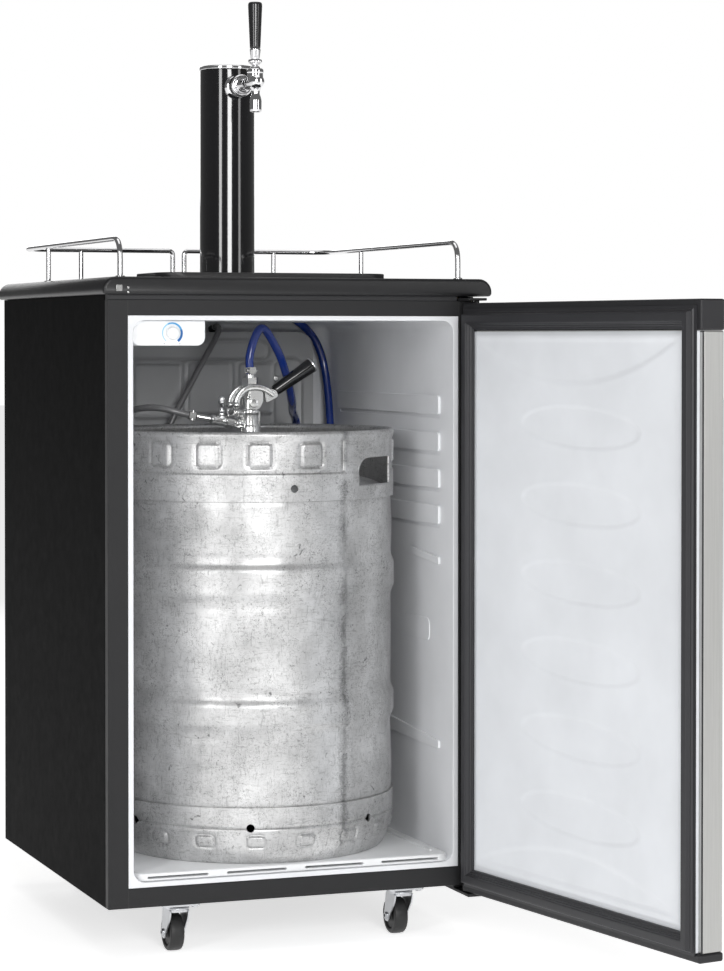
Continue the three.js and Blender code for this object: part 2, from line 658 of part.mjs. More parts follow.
const wheelFoot = cylinder.high + 60 + gap;
function co2Valve() {
  const { x, y } = cylinder;
  const disc = rod(19, [x, y, wheelFoot + 3], [x, y, wheelFoot + 13], 19, 12);
  const hub = rod(8, [x, y, wheelFoot], [x, y, wheelFoot + 16], 8, 12);
  const socket = rod(5.2, [x, y, wheelFoot - 1], [x, y, cylinder.high + 73], 5.2, 12);
  return cut(join(disc, hub), socket);
}
add('co2_valve_wheel', co2Valve(), blackPlastic);

// ---------- Door hinges ----------
const hingeGap = 1;                  // washer-thick air between a hinge plate and the door
function hingePin(z0, z1) {
  return rod(hinge.pinRadius, [hinge.x, hinge.y, z0], [hinge.x, hinge.y, z1], hinge.pinRadius, 12);
}

function lowerHinge() {
  const high = door.low - hingeGap;
  const leaf = box([234, 261], [-36, 52], [high - 4, high]);
  const riser = box([234, 261], [frame.depth + 2, 52], [high - 1, cabinet.bottom - gap]);
  return join(leaf, riser, hingePin(high - 1, door.low + 11));
}
add('hinge_lower', lowerHinge(), blackSteel);

function upperHinge() {
  const low = frame.top + gap;
  const leaf = box([234, 261], [-36, frame.depth - 1], [low, low + 3.5]);
  return join(leaf, hingePin(low + 1, door.high - 11));
}
add('hinge_upper', upperHinge(), blackSteel);

// ---------- Door ----------
// The door is laid out closed, with u measured from its hinge edge and t outwards from its inner face,
// then the whole group is turned about the hinge pins to stand open.
const doorGroup = new THREE.Group();
const swing = new THREE.Group();
swing.position.set(hinge.x, hinge.y, 0);
swing.rotation.z = (door.openAngle * Math.PI) / 180;
doorGroup.position.set(hinge.inset, hinge.fromInner, 0);
swing.add(doorGroup);
kegerator.add(swing);

const cap = { top: 38, bottom: 11 };
function doorBox([u0, u1], [t0, t1], [z0, z1]) {
  return box([-u1, -u0], [-t1, -t0], [z0, z1]);
}

function doorPanel() {
  const high = [door.low + cap.bottom + gap, door.high - cap.top - gap];
  return doorBox([0, door.width], [4.5, door.thickness], high);
}
const pinHole = (z0, z1) => rod(hinge.pinRadius + 0.3, [-hinge.inset, -hinge.fromInner, z0],
  [-hinge.inset, -hinge.fromInner, z1], hinge.pinRadius + 0.3, 12);
add('door_panel', doorPanel(), stainless, doorGroup);

const inner = { border: 29, low: 98, high: 830 };
function doorLiner() {
  const edge = 6;
  const low = door.low + cap.bottom + gap;
  const high = door.high - cap.top - gap;
  return doorBox([edge, door.width - edge], [0, 4.2], [low, high]);
}
add('door_liner', doorLiner(), whitePlastic, doorGroup);

function doorCap(low, high, hole) {
  return cut(doorBox([-0.8, door.width + 0.8], [0, door.thickness + 0.8], [low, high]), hole);
}
add('door_top_cap', doorCap(door.high - cap.top, door.high, pinHole(door.high - 12, door.high + 1)),
  blackPlastic, doorGroup);
add('door_bottom_cap', doorCap(door.low, door.low + cap.bottom, pinHole(door.low - 1, door.low + 12)),
  blackPlastic, doorGroup);

// The gasket is a magnetic strip round the inner face, narrower at its lip than at its root.
function doorGasket() {
  const root = -gap;
  const ring = (outer, inside_, t0, t1) => {
    const outside = doorBox([outer, door.width - outer], [t1, t0], [door.low + outer, door.high - outer]);
    const opening = doorBox([inside_, door.width - inside_], [t1 - 1, t0 + 1],
      [inner.low + inside_ - inner.border, inner.high - inside_ + inner.border]);
    return cut(outside, opening);
  };
  return join(ring(8, inner.border, root, -6), ring(13, inner.border - 3, -5.9, -door.gasket));
}
add('door_gasket', doorGasket(), greyPlastic, doorGroup);

// ---------- Casters ----------
function casterPlate(x, y) {
  const half = caster.plate / 2;
  const high = cabinet.bottom - gap;
  const leaf = box([x - half, x + half], [y - half, y + half], [high - 2.5, high]);
  return join(leaf, rod(15, [x, y, high - 5.5], [x, y, high - 2], 17, 12));
}

function casterFork(x, y) {
  const crown = cabinet.bottom - gap - 5.5 - gap;
  const axleY = y + caster.trail;
  const axleZ = caster.wheelRadius;
  const head = rod(16, [x, y, crown - 3], [x, y, crown], 16, 12);
  const roof = box([x - 13.5, x + 13.5], [y - 14, axleY - 2], [crown - 5, crown - 2]);
  const leg = (side) => {
    const outline = new THREE.Shape();
    outline.moveTo(y - 14, crown - 2);
    outline.lineTo(axleY - 7, axleZ - 4);
    outline.absarc(axleY, axleZ, 7.5, -Math.PI * 0.9, 0);
    outline.lineTo(axleY + 4, crown - 2);
    outline.closePath();
    const settings = { depth: 2, bevelEnabled: false, curveSegments: 3 };
    const geometry = new THREE.ExtrudeGeometry(outline, settings);
    geometry.applyMatrix4(new THREE.Matrix4().makeBasis(
      new THREE.Vector3(0, 1, 0), new THREE.Vector3(0, 0, 1), new THREE.Vector3(1, 0, 0)));
    geometry.translate(side > 0 ? x + 11.5 : x - 13.5, 0, 0);
    return solid(geometry);
  };
  const axle = rod(3, [x - 16, axleY, axleZ], [x + 16, axleY, axleZ], 3, 8);
  return join(head, roof, leg(-1), leg(1), axle);
}

function casterWheel(x, y) {
  const r = caster.wheelRadius;
  const half = 10;
  const outline = [[3.3, -half], [r - 2.5, -half], [r, -half + 3], [r, half - 3], [r - 2.5, half],
    [3.3, half], [3.3, -half]];
  const points = outline.map(([radius, z]) => new THREE.Vector2(radius, z));
  const geometry = new THREE.LatheGeometry(points, 20);
  geometry.rotateZ(Math.PI / 2);
  geometry.translate(x, y + caster.trail, r);
  return solid(geometry);
}

for (const [sideName, x] of [['left', -caster.x], ['right', caster.x]]) {
  for (const [endName, y] of [['front', caster.frontY], ['rear', caster.rearY]]) {
    add(`caster_plate_${endName}_${sideName}`, casterPlate(x, y), zinc);
    add(`caster_fork_${endName}_${sideName}`, casterFork(x, y), zinc);
    add(`caster_wheel_${endName}_${sideName}`, casterWheel(x, y), rubber);
  }
}

// ---------- Origin ----------
// The finished object's origin is on the floor, under the middle of its whole footprint.
kegerator.updateMatrixWorld(true);
const footprint = new THREE.Box3().setFromObject(kegerator, true);
const middle = footprint.getCenter(new THREE.Vector3());
kegerator.position.set(-middle.x, -middle.y, -footprint.min.z);

export default kegerator;
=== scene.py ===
"""Kegerator: the looks of a keg refrigerator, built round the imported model.

Sizes in this script are millimetres from the cabinet's middle, its front face and the floor, and
cab() and door() turn them into the frame's metres.
"""

import math

import bmesh
import bpy
import numpy as np
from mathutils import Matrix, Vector


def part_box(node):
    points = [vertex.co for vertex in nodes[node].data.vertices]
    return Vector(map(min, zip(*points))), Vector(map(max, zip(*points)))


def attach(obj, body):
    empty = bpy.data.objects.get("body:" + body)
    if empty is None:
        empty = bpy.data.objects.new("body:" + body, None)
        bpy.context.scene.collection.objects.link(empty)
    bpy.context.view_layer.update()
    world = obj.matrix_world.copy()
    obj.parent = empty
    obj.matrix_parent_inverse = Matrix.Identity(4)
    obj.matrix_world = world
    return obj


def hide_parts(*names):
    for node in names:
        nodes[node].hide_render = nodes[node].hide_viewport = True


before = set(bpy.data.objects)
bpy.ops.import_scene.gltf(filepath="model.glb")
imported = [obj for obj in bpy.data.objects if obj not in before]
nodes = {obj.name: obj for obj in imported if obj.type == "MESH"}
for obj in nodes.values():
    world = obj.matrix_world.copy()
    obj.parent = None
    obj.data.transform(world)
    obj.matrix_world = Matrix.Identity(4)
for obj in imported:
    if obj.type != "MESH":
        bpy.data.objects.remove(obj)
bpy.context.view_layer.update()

# ---------- The frame's own measures, in millimetres ----------
MM = 0.001
shell_low, shell_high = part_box("cabinet_shell")
MIDDLE = (shell_low.x + shell_high.x) / 2 / MM
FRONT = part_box("front_frame")[0].y / MM


def measured(node):
    """A node's lowest and highest corners in this script's own units."""
    low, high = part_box(node)
    shift = Vector((MIDDLE, FRONT, 0))
    return low / MM - shift, high / MM - shift


def cab(points):
    return (np.asarray(points, float) + (MIDDLE, FRONT, 0)) * MM


HINGE_X, HINGE_Y = 250, -26
HINGE_INSET, HINGE_DEPTH = 13, 14
DOOR_OPEN = math.radians(100)
DOOR_WIDTH, DOOR_LOW, DOOR_HIGH, DOOR_THICK = 526, 64, 866, 35.5


def door(points):
    """Points as (across from the hinge edge, outwards from the inner face, up)."""
    points = np.asarray(points, float)
    a = HINGE_INSET - points[:, 0]
    b = HINGE_DEPTH - points[:, 1]
    turned = np.empty_like(points)
    turned[:, 0] = HINGE_X + math.cos(DOOR_OPEN) * a - math.sin(DOOR_OPEN) * b
    turned[:, 1] = HINGE_Y + math.sin(DOOR_OPEN) * a + math.cos(DOOR_OPEN) * b
    turned[:, 2] = points[:, 2]
    return cab(turned)


# ---------- Solids, each as (points, faces) in millimetres ----------
def merge(*parts):
    points, faces, first = [], [], 0
    for part_points, part_faces in parts:
        points.append(np.asarray(part_points, float).reshape(-1, 3))
        faces += [tuple(first + i for i in face) for face in part_faces]
        first += len(part_points)
    return np.concatenate(points), faces


def ring_faces(rows, columns, wrap_rows=True):
    faces = []
    for i in range(rows if wrap_rows else rows - 1):
        k = (i + 1) % rows
        for j in range(columns):
            m = (j + 1) % columns
            faces.append((i * columns + j, i * columns + m, k * columns + m, k * columns + j))
    return faces


def soft(outline, radius, steps=3, closed=True):
    """The outline with its corners rounded. Corners on the axis, where the first value is 0, stay."""
    found, count = [], len(outline)
    corners = [np.array(corner, float) for corner in outline]
    for i, corner in enumerate(corners):
        before = corners[i - 1] - corner
        after = corners[(i + 1) % count] - corner
        ends = not closed and i in (0, count - 1)
        if ends or corner[0] == 0 or np.linalg.norm(before) == 0 or np.linalg.norm(after) == 0:
            found.append(corner)
            continue
        long_before, long_after = np.linalg.norm(before), np.linalg.norm(after)
        reach = min(radius, 0.48 * long_before, 0.48 * long_after)
        start, end = corner + before / long_before * reach, corner + after / long_after * reach
        for k in range(steps + 1):
            t = k / steps
            found.append((1 - t) ** 2 * start + 2 * t * (1 - t) * corner + t * t * end)
    return found


def lathe(profile, x=0, y=0, sides=64, swell=None):
    """A turned solid about the upright line through (x, y). swell(angle, height) adds to its radius."""
    profile = np.array(profile, float)
    angle = np.arange(sides)[:, None] * 2 * np.pi / sides
    radius = profile[None, :, 0] + np.zeros((sides, 1))
    height = profile[None, :, 1] + np.zeros((sides, 1))
    if swell is not None:
        radius = radius + swell(angle + 0 * height, height, radius)
    points = np.stack([x + radius * np.sin(angle), y - radius * np.cos(angle), height], axis=-1)
    return points.reshape(-1, 3), ring_faces(sides, len(profile))


def aimed(part, origin, along):
    """A part made about the upright axis, turned to point along a direction from an origin."""
    points, faces = part
    turn = Vector((0, 0, 1)).rotation_difference(Vector(along).normalized()).to_matrix()
    return np.asarray(points) @ np.array(turn).T + np.array(origin, float), faces


def prism(outline, low, high, plane="xy"):
    """A flat outline in one plane, given depth from low to high along the third axis."""
    order = {"xy": (0, 1, 2), "xz": (0, 2, 1), "yz": (1, 2, 0)}[plane]
    count = len(outline)
    points = np.zeros((2 * count, 3))
    for level, depth in enumerate((low, high)):
        rows = slice(level * count, (level + 1) * count)
        points[rows, order[0]] = [p[0] for p in outline]
        points[rows, order[1]] = [p[1] for p in outline]
        points[rows, order[2]] = depth
    faces = [tuple(range(count)), tuple(range(2 * count - 1, count - 1, -1))]
    faces += ring_faces(2, count, wrap_rows=False)
    return points, faces


def block(x, y, z):
    return prism([(x[0], y[0]), (x[1], y[0]), (x[1], y[1]), (x[0], y[1])], z[0], z[1])


def rectangle(x0, x1, y0, y1, radii, steps=8):
    """A rectangle with round corners, from its low corner round."""
    if not isinstance(radii, (list, tuple)):
        radii = [radii] * 4
    found = []
    corners = [(x0, y0, 1, 1), (x1, y0, -1, 1), (x1, y1, -1, -1), (x0, y1, 1, -1)]
    for turn, ((x, y, dx, dy), radius) in enumerate(zip(corners, radii)):
        if radius <= 0:
            found.append((x, y))
            continue
        for k in range(steps + 1):
            angle = math.pi + (turn + k / steps) * math.pi / 2
            found.append((x + dx * radius + radius * math.cos(angle),
                          y + dy * radius + radius * math.sin(angle)))
    return found


def catmull(points, spans=8):
    """A centripetal curve through points."""
    p = [np.array(point, float) for point in points]
    p = [2 * p[0] - p[1], *p, 2 * p[-1] - p[-2]]
    found = []
    for a, b, c, d in zip(p, p[1:], p[2:], p[3:]):
        t1 = np.linalg.norm(b - a) ** 0.5
        t2 = t1 + np.linalg.norm(c - b) ** 0.5
        t3 = t2 + np.linalg.norm(d - c) ** 0.5
        for k in range(spans):
            t = t1 + (t2 - t1) * k / spans
            a1 = (t1 - t) / t1 * a + t / t1 * b
            a2 = (t2 - t) / (t2 - t1) * b + (t - t1) / (t2 - t1) * c
            a3 = (t3 - t) / (t3 - t2) * c + (t - t2) / (t3 - t2) * d
            b1 = (t2 - t) / t2 * a1 + t / t2 * a2
            b2 = (t3 - t) / (t3 - t1) * a2 + (t - t1) / (t3 - t1) * a3
            found.append((t2 - t) / (t2 - t1) * b1 + (t - t1) / (t2 - t1) * b2)
    found.append(p[-2])
    return found


def bent(corners, radii, steps=8):
    """Straight runs with each corner bent round, by one radius or a radius for each."""
    p = [np.array(corner, float) for corner in corners]
    if not isinstance(radii, tuple):
        radii = (radii,) * (len(p) - 2)
    found = [p[0]]
    for before, corner, after, radius in zip(p, p[1:], p[2:], radii):
        start = corner + (before - corner) / np.linalg.norm(before - corner) * radius
        end = corner + (after - corner) / np.linalg.norm(after - corner) * radius
        for k in range(steps + 1):
            t = k / steps
            found.append((1 - t) ** 2 * start + 2 * t * (1 - t) * corner + t * t * end)
    found.append(p[-1])
    return found


def circle(radius, sides=16):
    turns = [2 * math.pi * k / sides for k in range(sides)]
    return [(radius * math.cos(a), radius * math.sin(a)) for a in turns]


def sweep(path, section, up=(0, 0, 1), sizes=None):
    """A section carried along a path, with its ends closed."""
    path = np.array(path, float)
    section = np.array(section, float)
    along = np.gradient(path, axis=0)
    along /= np.linalg.norm(along, axis=1)[:, None]
    side = np.array(up, float)
    points = []
    for i, (place, ahead) in enumerate(zip(path, along)):
        side = side - side.dot(ahead) * ahead
        side /= np.linalg.norm(side)
        across = np.cross(ahead, side)
        size = 1 if sizes is None else sizes[i]
        points.append(place + size * (section[:, :1] * side + section[:, 1:] * across))
    count = len(section)
    last = (len(path) - 1) * count
    faces = ring_faces(len(path), count, wrap_rows=False)
    faces += [tuple(range(count))[::-1], tuple(range(last, last + count))]
    return np.concatenate(points), faces


def rod(radius, start, end, end_radius=None, sides=32, edge=0.6):
    start, end = np.array(start, float), np.array(end, float)
    long = np.linalg.norm(end - start)
    outline = [(0, 0), (radius, 0), (end_radius or radius, long), (0, long)]
    return aimed(lathe(soft(outline, edge), sides=sides), start, end - start)


def hexagon(across, start, end):
    start, end = np.array(start, float), np.array(end, float)
    return aimed(prism(circle(across / math.sqrt(3), 6), 0, np.linalg.norm(end - start)), start,
                 end - start)


def sphere(radius, centre, sides=32):
    turns = [math.pi * k / 16 for k in range(17)]
    profile = [(radius * math.sin(a), -radius * math.cos(a)) for a in turns]
    profile[0], profile[-1] = (0, -radius), (0, radius)
    points, faces = lathe(profile, sides=sides)
    return points + np.array(centre, float), faces


def screw(centre, along, radius=3.5):
    """A pan head, standing on a surface."""
    head = lathe(soft([(0, -1), (radius, -1), (radius, 0.6), (radius * 0.7, 1.5), (0, 1.7)], 0.5), sides=20)
    return aimed(head, centre, along)


# ---------- Pieces ----------
def clean(mesh, gap, flat_angle=None):
    """Joins points nearer than the gap, merges faces flatter than the angle, and turns faces outwards."""
    work = bmesh.new()
    work.from_mesh(mesh)
    bmesh.ops.remove_doubles(work, verts=work.verts, dist=gap)
    if flat_angle:
        bmesh.ops.dissolve_limit(work, angle_limit=math.radians(flat_angle), verts=work.verts,
                                 edges=work.edges)
    bmesh.ops.recalc_face_normals(work, faces=work.faces)
    work.to_mesh(mesh)
    work.free()


def shade(mesh, angle):
    """Smooth shading, broken at edges sharper than the angle."""
    for polygon in mesh.polygons:
        polygon.use_smooth = True
    mesh.set_sharp_from_angle(angle=math.radians(angle))


def finish_mesh(mesh, angle):
    clean(mesh, 2e-6)
    shade(mesh, angle)


def add_object(name, data):
    made = bpy.data.objects.new(name, data)
    bpy.context.scene.collection.objects.link(made)
    return made


def add_bevel(piece, width, segments=3, angle=32):
    bevel = piece.modifiers.new("edges", "BEVEL")
    bevel.width = width * MM
    bevel.segments = segments
    bevel.limit_method = "ANGLE"
    bevel.angle_limit = math.radians(angle)
    bevel.harden_normals = True
    bevel.miter_outer = "MITER_ARC"


def make(name, part, material, body, stands_for=(), place=cab, bevel=0, angle=32, segments=3):
    """A piece of the visual model, riding on a body, from a solid in this script's own units."""
    points, faces = part
    mesh = bpy.data.meshes.new(name)
    mesh.from_pydata(place(points).tolist(), [], faces)
    finish_mesh(mesh, angle)
    mesh.materials.append(material)
    piece = add_object(name, mesh)
    if bevel:
        add_bevel(piece, bevel, segments, angle)
    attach(piece, body)
    if stands_for:
        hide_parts(*stands_for)
    return piece


def recast(node, material, body, bevel):
    """A finer copy of a CAD node: the same shape with its edges rounded."""
    mesh = nodes[node].data.copy()
    mesh.name = node + "_fine"
    for name in [a.name for a in mesh.attributes if a.name == "custom_normal"]:
        mesh.attributes.remove(mesh.attributes[name])
    mesh.materials.clear()
    mesh.materials.append(material)
    clean(mesh, 2e-5, flat_angle=1)
    for polygon in mesh.polygons:
        polygon.material_index = 0
    shade(mesh, 32)
    piece = add_object(node + "_fine", mesh)
    add_bevel(piece, bevel)
    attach(piece, body)
    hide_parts(node)
    return piece


def apply_modifiers(piece):
    graph = bpy.context.evaluated_depsgraph_get()
    mesh = bpy.data.meshes.new_from_object(piece.evaluated_get(graph))
    piece.modifiers.clear()
    piece.data = mesh


def carve(piece, cutters, angle=32):
    """Cuts parts out of a piece."""
    mesh = bpy.data.meshes.new("cutter")
    points, faces = merge(*cutters)
    mesh.from_pydata(cab(points).tolist(), [], faces)
    finish_mesh(mesh, 30)
    tool = add_object("cutter", mesh)
    modifier = piece.modifiers.new("cut", "BOOLEAN")
    modifier.operation = "DIFFERENCE"
    modifier.object = tool
    modifier.solver = "EXACT"
    apply_modifiers(piece)
    bpy.data.objects.remove(tool)
    shade(piece.data, angle)


def carve_bevelled(piece, cutters):
    """Cuts parts out of a piece after its edges are rounded."""
    apply_modifiers(piece)
    carve(piece, cutters, 40)


# ---------- Materials ----------
class Look:
    """A material built from nodes round one Principled shader."""

    def __init__(self, name, color, roughness, metallic=0.0, **sockets):
        self.material = bpy.data.materials.new(name)
        self.material.use_nodes = True
        self.tree = self.material.node_tree
        self.shader = self.tree.nodes["Principled BSDF"]
        self.shader.inputs["Base Color"].default_value = (*color, 1)
        self.shader.inputs["Roughness"].default_value = roughness
        self.shader.inputs["Metallic"].default_value = metallic
        for socket, value in sockets.items():
            self.shader.inputs[socket.replace("_", " ")].default_value = value
        self.place = self.node("ShaderNodeTexCoord").outputs["Object"]

    def node(self, kind, **values):
        made = self.tree.nodes.new(kind)
        for name, value in values.items():
            setattr(made, name, value)
        return made

    def link(self, source, target):
        self.tree.links.new(source, target)

    def noise(self, scale, detail=4, roughness=0.55, stretch=(1, 1, 1), place=None, distortion=0.0):
        mapping = self.node("ShaderNodeMapping")
        mapping.inputs["Scale"].default_value = stretch
        self.link(place or self.place, mapping.inputs["Vector"])
        noise = self.node("ShaderNodeTexNoise")
        noise.inputs["Scale"].default_value = scale
        noise.inputs["Detail"].default_value = detail
        noise.inputs["Roughness"].default_value = roughness
        noise.inputs["Distortion"].default_value = distortion
        self.link(mapping.outputs["Vector"], noise.inputs["Vector"])
        return noise.outputs["Fac"]

    def ramp(self, value, stops):
        ramp = self.node("ShaderNodeValToRGB")
        elements = ramp.color_ramp.elements
        while len(elements) < len(stops):
            elements.new(0.5)
        for element, (position, color) in zip(elements, stops):
            element.position = position
            shade = color if isinstance(color, (list, tuple)) else (color,) * 3
            element.color = (*shade, 1)
        self.link(value, ramp.inputs["Fac"])
        return ramp.outputs["Color"]

    def math(self, operation, a, b=0.0):
        made = self.node("ShaderNodeMath", operation=operation)
        for socket, value in zip(made.inputs, (a, b)):
            if isinstance(value, (int, float)):
                socket.default_value = value
            else:
                self.link(value, socket)
        return made.outputs[0]

    def mix(self, share, a, b, blend="MIX"):
        made = self.node("ShaderNodeMix", data_type="RGBA", blend_type=blend)
        for socket, value in ((made.inputs[0], share), (made.inputs[6], a), (made.inputs[7], b)):
            if isinstance(value, (int, float)):
                socket.default_value = value
            elif isinstance(value, tuple):
                socket.default_value = (*value, 1)
            else:
                self.link(value, socket)
        return made.outputs[2]

    def color(self, source):
        self.link(source, self.shader.inputs["Base Color"])

    def rough(self, source, low, high):
        spread = self.node("ShaderNodeMapRange")
        spread.inputs["To Min"].default_value = low
        spread.inputs["To Max"].default_value = high
        self.link(source, spread.inputs["Value"])
        self.link(spread.outputs["Result"], self.shader.inputs["Roughness"])

    def bump(self, height, strength, distance=0.4):
        made = self.node("ShaderNodeBump")
        made.inputs["Strength"].default_value = strength
        made.inputs["Distance"].default_value = distance * MM
        self.link(height, made.inputs["Height"])
        last = self.shader.inputs["Normal"].links
        if last:
            self.link(last[0].from_socket, made.inputs["Normal"])
        self.link(made.outputs["Normal"], self.shader.inputs["Normal"])


def moulded(name, color, roughness, grain=900, depth=0.12, **sockets):
    """Moulded plastic, rubber or paint: a fine grain and faint changes of tone."""
    look = Look(name, color, roughness, **sockets)
    cloud = look.noise(9, 3)
    darker = tuple(c * 0.88 for c in color)
    look.color(look.mix(cloud, darker, tuple(min(1, c * 1.1) for c in color)))
    look.rough(look.noise(60, 3), roughness * 0.88, min(1, roughness * 1.12))
    look.bump(look.noise(grain, 2), depth, 0.25)
    return look.material


def metal(name, color, roughness, stretch=(1, 1, 1), scale=500, wear=0.1, depth=0.05):
    """Plated or brushed metal. A stretch under 1 along an axis draws its grain out that way."""
    look = Look(name, color, roughness, 1.0)
    grain = look.noise(scale, 3, stretch=stretch)
    cloud = look.noise(14, 4)
    shade = look.mix(grain, tuple(c * (1 - wear) for c in color), color)
    look.color(look.mix(look.math("MULTIPLY", cloud, wear * 2), shade, tuple(c * 0.8 for c in color)))
    look.rough(look.mix(0.5, grain, cloud), roughness * 0.75, min(1, roughness * 1.3))
    look.bump(grain, depth, 0.1)
    return look.material


def keg_metal():
    """Worn stainless keg metal: mottled, scratched both ways, with a dull weld line up one side."""
    look = Look("keg_metal", (0.62, 0.62, 0.62), 0.38, 0.72)
    split = look.node("ShaderNodeSeparateXYZ")
    look.link(look.place, split.inputs[0])
    centre = cab([(0, KEG_Y, 0)])[0]
    across = look.math("SUBTRACT", split.outputs["X"], centre[0])
    ahead = look.math("SUBTRACT", centre[1], split.outputs["Y"])
    angle = look.math("ARCTAN2", across, ahead)
    wrap = look.node("ShaderNodeCombineXYZ")
    look.link(look.math("MULTIPLY", angle, KEG_RADIUS * MM), wrap.inputs["X"])
    look.link(split.outputs["Z"], wrap.inputs["Z"])
    skin = wrap.outputs[0]
    cloud = look.ramp(look.noise(10, 6, 0.65, place=skin), [(0.32, 0.42), (0.5, 0.58), (0.68, 0.76)])
    fine = look.noise(170, 7, 0.8, place=skin, distortion=0.5)
    grit = look.ramp(look.noise(330, 5, 0.8, place=skin, distortion=1.2), [(0.38, 0.4), (0.47, 1.0)])
    patch = look.ramp(look.noise(17, 4, 0.6, place=skin), [(0.4, 0.15), (0.58, 1.0)])
    worn = look.mix(patch, cloud, look.mix(1.0, cloud, grit, "MULTIPLY"))
    flecks = look.ramp(look.noise(80, 4, 0.6, place=skin, distortion=1.5), [(0.28, 0.3), (0.35, 1.0)])
    worn = look.mix(0.9, worn, flecks, "MULTIPLY")
    down = look.ramp(look.noise(230, 4, 0.7, (1, 1, 0.2), skin, 2.0), [(0.36, 0.6), (0.44, 1.0)])
    across_it = look.ramp(look.noise(250, 4, 0.7, (0.16, 1, 1), skin, 2.0), [(0.36, 0.62), (0.44, 1.0)])
    worn = look.mix(0.7, worn, look.mix(1.0, down, across_it, "MULTIPLY"), "MULTIPLY")
    seam = look.math("ABSOLUTE", look.math("SUBTRACT", angle, math.radians(WELD_ANGLE)))
    seam = look.math("ADD", seam, look.math("MULTIPLY", look.math("SUBTRACT", fine, 0.5), 0.16))
    smudge = look.ramp(seam, [(0.0, 0.4), (0.05, 1.0)])
    smudge = look.mix(look.ramp(look.noise(15, 3, place=skin), [(0.4, 0.0), (0.52, 1.0)]), (1, 1, 1),
                      smudge)
    look.color(look.mix(0.9, worn, smudge, "MULTIPLY"))
    look.rough(look.mix(0.5, fine, patch), 0.26, 0.5)
    look.bump(fine, 0.2, 0.5)
    look.bump(look.noise(14, 3, place=skin), 0.3, 4)
    look.bump(down, 0.2, 0.2)
    return look.material


def brushed_door():
    look = Look("door_steel", (0.5, 0.5, 0.49), 0.36, 0.9)
    grain = look.noise(700, 3, 0.6, (1, 1, 0.015))
    look.color(look.mix(grain, (0.42, 0.42, 0.41), (0.56, 0.56, 0.545)))
    look.rough(grain, 0.3, 0.44)
    look.bump(grain, 0.06, 0.05)
    return look.material


KEG_Y, KEG_RADIUS, WELD_ANGLE = 197, 198, 21

black_paint = moulded("black_paint", (0.002, 0.002, 0.0022), 0.55, 700, 0.02, IOR=1.08)
frame_paint = moulded("frame_plastic", (0.016, 0.016, 0.017), 0.5, 1000, 0.1, Specular_IOR_Level=0.3)
top_plastic = moulded("top_plastic", (0.012, 0.012, 0.013), 0.36, 1100, 0.12, Specular_IOR_Level=0.4)
cap_plastic = moulded("cap_plastic", (0.02, 0.02, 0.022), 0.45, 1100, 0.12, Specular_IOR_Level=0.35)
gasket_rubber = moulded("gasket_vinyl", (0.028, 0.028, 0.031), 0.42, 500, 0.06, Specular_IOR_Level=0.4)
liner_plastic = moulded("liner_plastic", (0.78, 0.79, 0.81), 0.36, 350, 0.05)
door_plastic = moulded("door_plastic", (0.78, 0.8, 0.83), 0.34, 350, 0.03)
control_plastic = moulded("control_plastic", (0.84, 0.85, 0.86), 0.32, 700, 0.03)
foam_yellow = moulded("foam", (0.7, 0.6, 0.35), 0.9, 300, 0.5)
tray_plastic = moulded("tray_plastic", (0.02, 0.02, 0.021), 0.4, 1000, 0.15)
grate_plastic = moulded("grate_plastic", (0.035, 0.035, 0.037), 0.45, 1000, 0.1)
handle_plastic = moulded("handle_plastic", (0.012, 0.012, 0.013), 0.22, 900, 0.02, Coat_Weight=0.5)
tower_black = moulded("tower_black", (0.005, 0.005, 0.006), 0.12, 300, 0.008, Coat_Weight=1.0)
grip_black = moulded("grip_black", (0.006, 0.006, 0.007), 0.16, 800, 0.02, Coat_Weight=0.6)
hose_blue = moulded("hose_blue", (0.008, 0.035, 0.24), 0.2, 500, 0.03, Coat_Weight=0.7)
hose_grey = moulded("hose_grey", (0.2, 0.2, 0.205), 0.3, 700, 0.04, Coat_Weight=0.3)
tyre_rubber = moulded("tyre_rubber", (0.012, 0.012, 0.012), 0.5, 900, 0.2)
gauge_white = moulded("gauge_white", (0.8, 0.8, 0.78), 0.4, 700, 0.02)
lamp_grey = moulded("lamp_grey", (0.3, 0.3, 0.31), 0.35, 700, 0.03)
chrome = metal("chrome", (0.86, 0.86, 0.87), 0.09, wear=0.05, depth=0.02)
zinc = metal("zinc", (0.66, 0.67, 0.69), 0.3, scale=250, wear=0.25)
plate_metal = moulded("evaporator_metal", (0.42, 0.425, 0.43), 0.5, 90, 0.05, Metallic=0.35)
cylinder_metal = metal("cylinder_metal", (0.62, 0.63, 0.64), 0.34, (1, 1, 0.04), 500, 0.15)
coupler_metal = metal("coupler_metal", (0.95, 0.95, 0.94), 0.2, wear=0.06, depth=0.03)
clamp_steel = metal("clamp_steel", (0.72, 0.72, 0.71), 0.22, wear=0.15)
nickel_brass = metal("nickel_brass", (0.78, 0.68, 0.45), 0.22, wear=0.2)
copper = metal("copper", (0.75, 0.35, 0.2), 0.25, wear=0.3)
dial_blues = [moulded("dial_light_blue", (0.25, 0.55, 0.78), 0.4, 700, 0.02),
              moulded("dial_mid_blue", (0.06, 0.32, 0.62), 0.4, 700, 0.02),
              moulded("dial_dark_blue", (0.01, 0.13, 0.4), 0.4, 700, 0.02)]
keg_steel = keg_metal()
door_steel = brushed_door()


# ---------- Camera, lights and floor ----------
def camera():
    data = bpy.data.cameras.new("camera")
    data.sensor_width = 36
    data.lens = 105.13
    data.shift_x = 0.0304
    data.shift_y = -0.0977
    data.clip_end = 50
    made = add_object("camera", data)
    made.location = cab([(-1263.3, -3574.8, 818.6)])[0].tolist()
    made.rotation_euler = (math.radians(90 - 1.064), 0, math.radians(-20.183))
    bpy.context.scene.camera = made


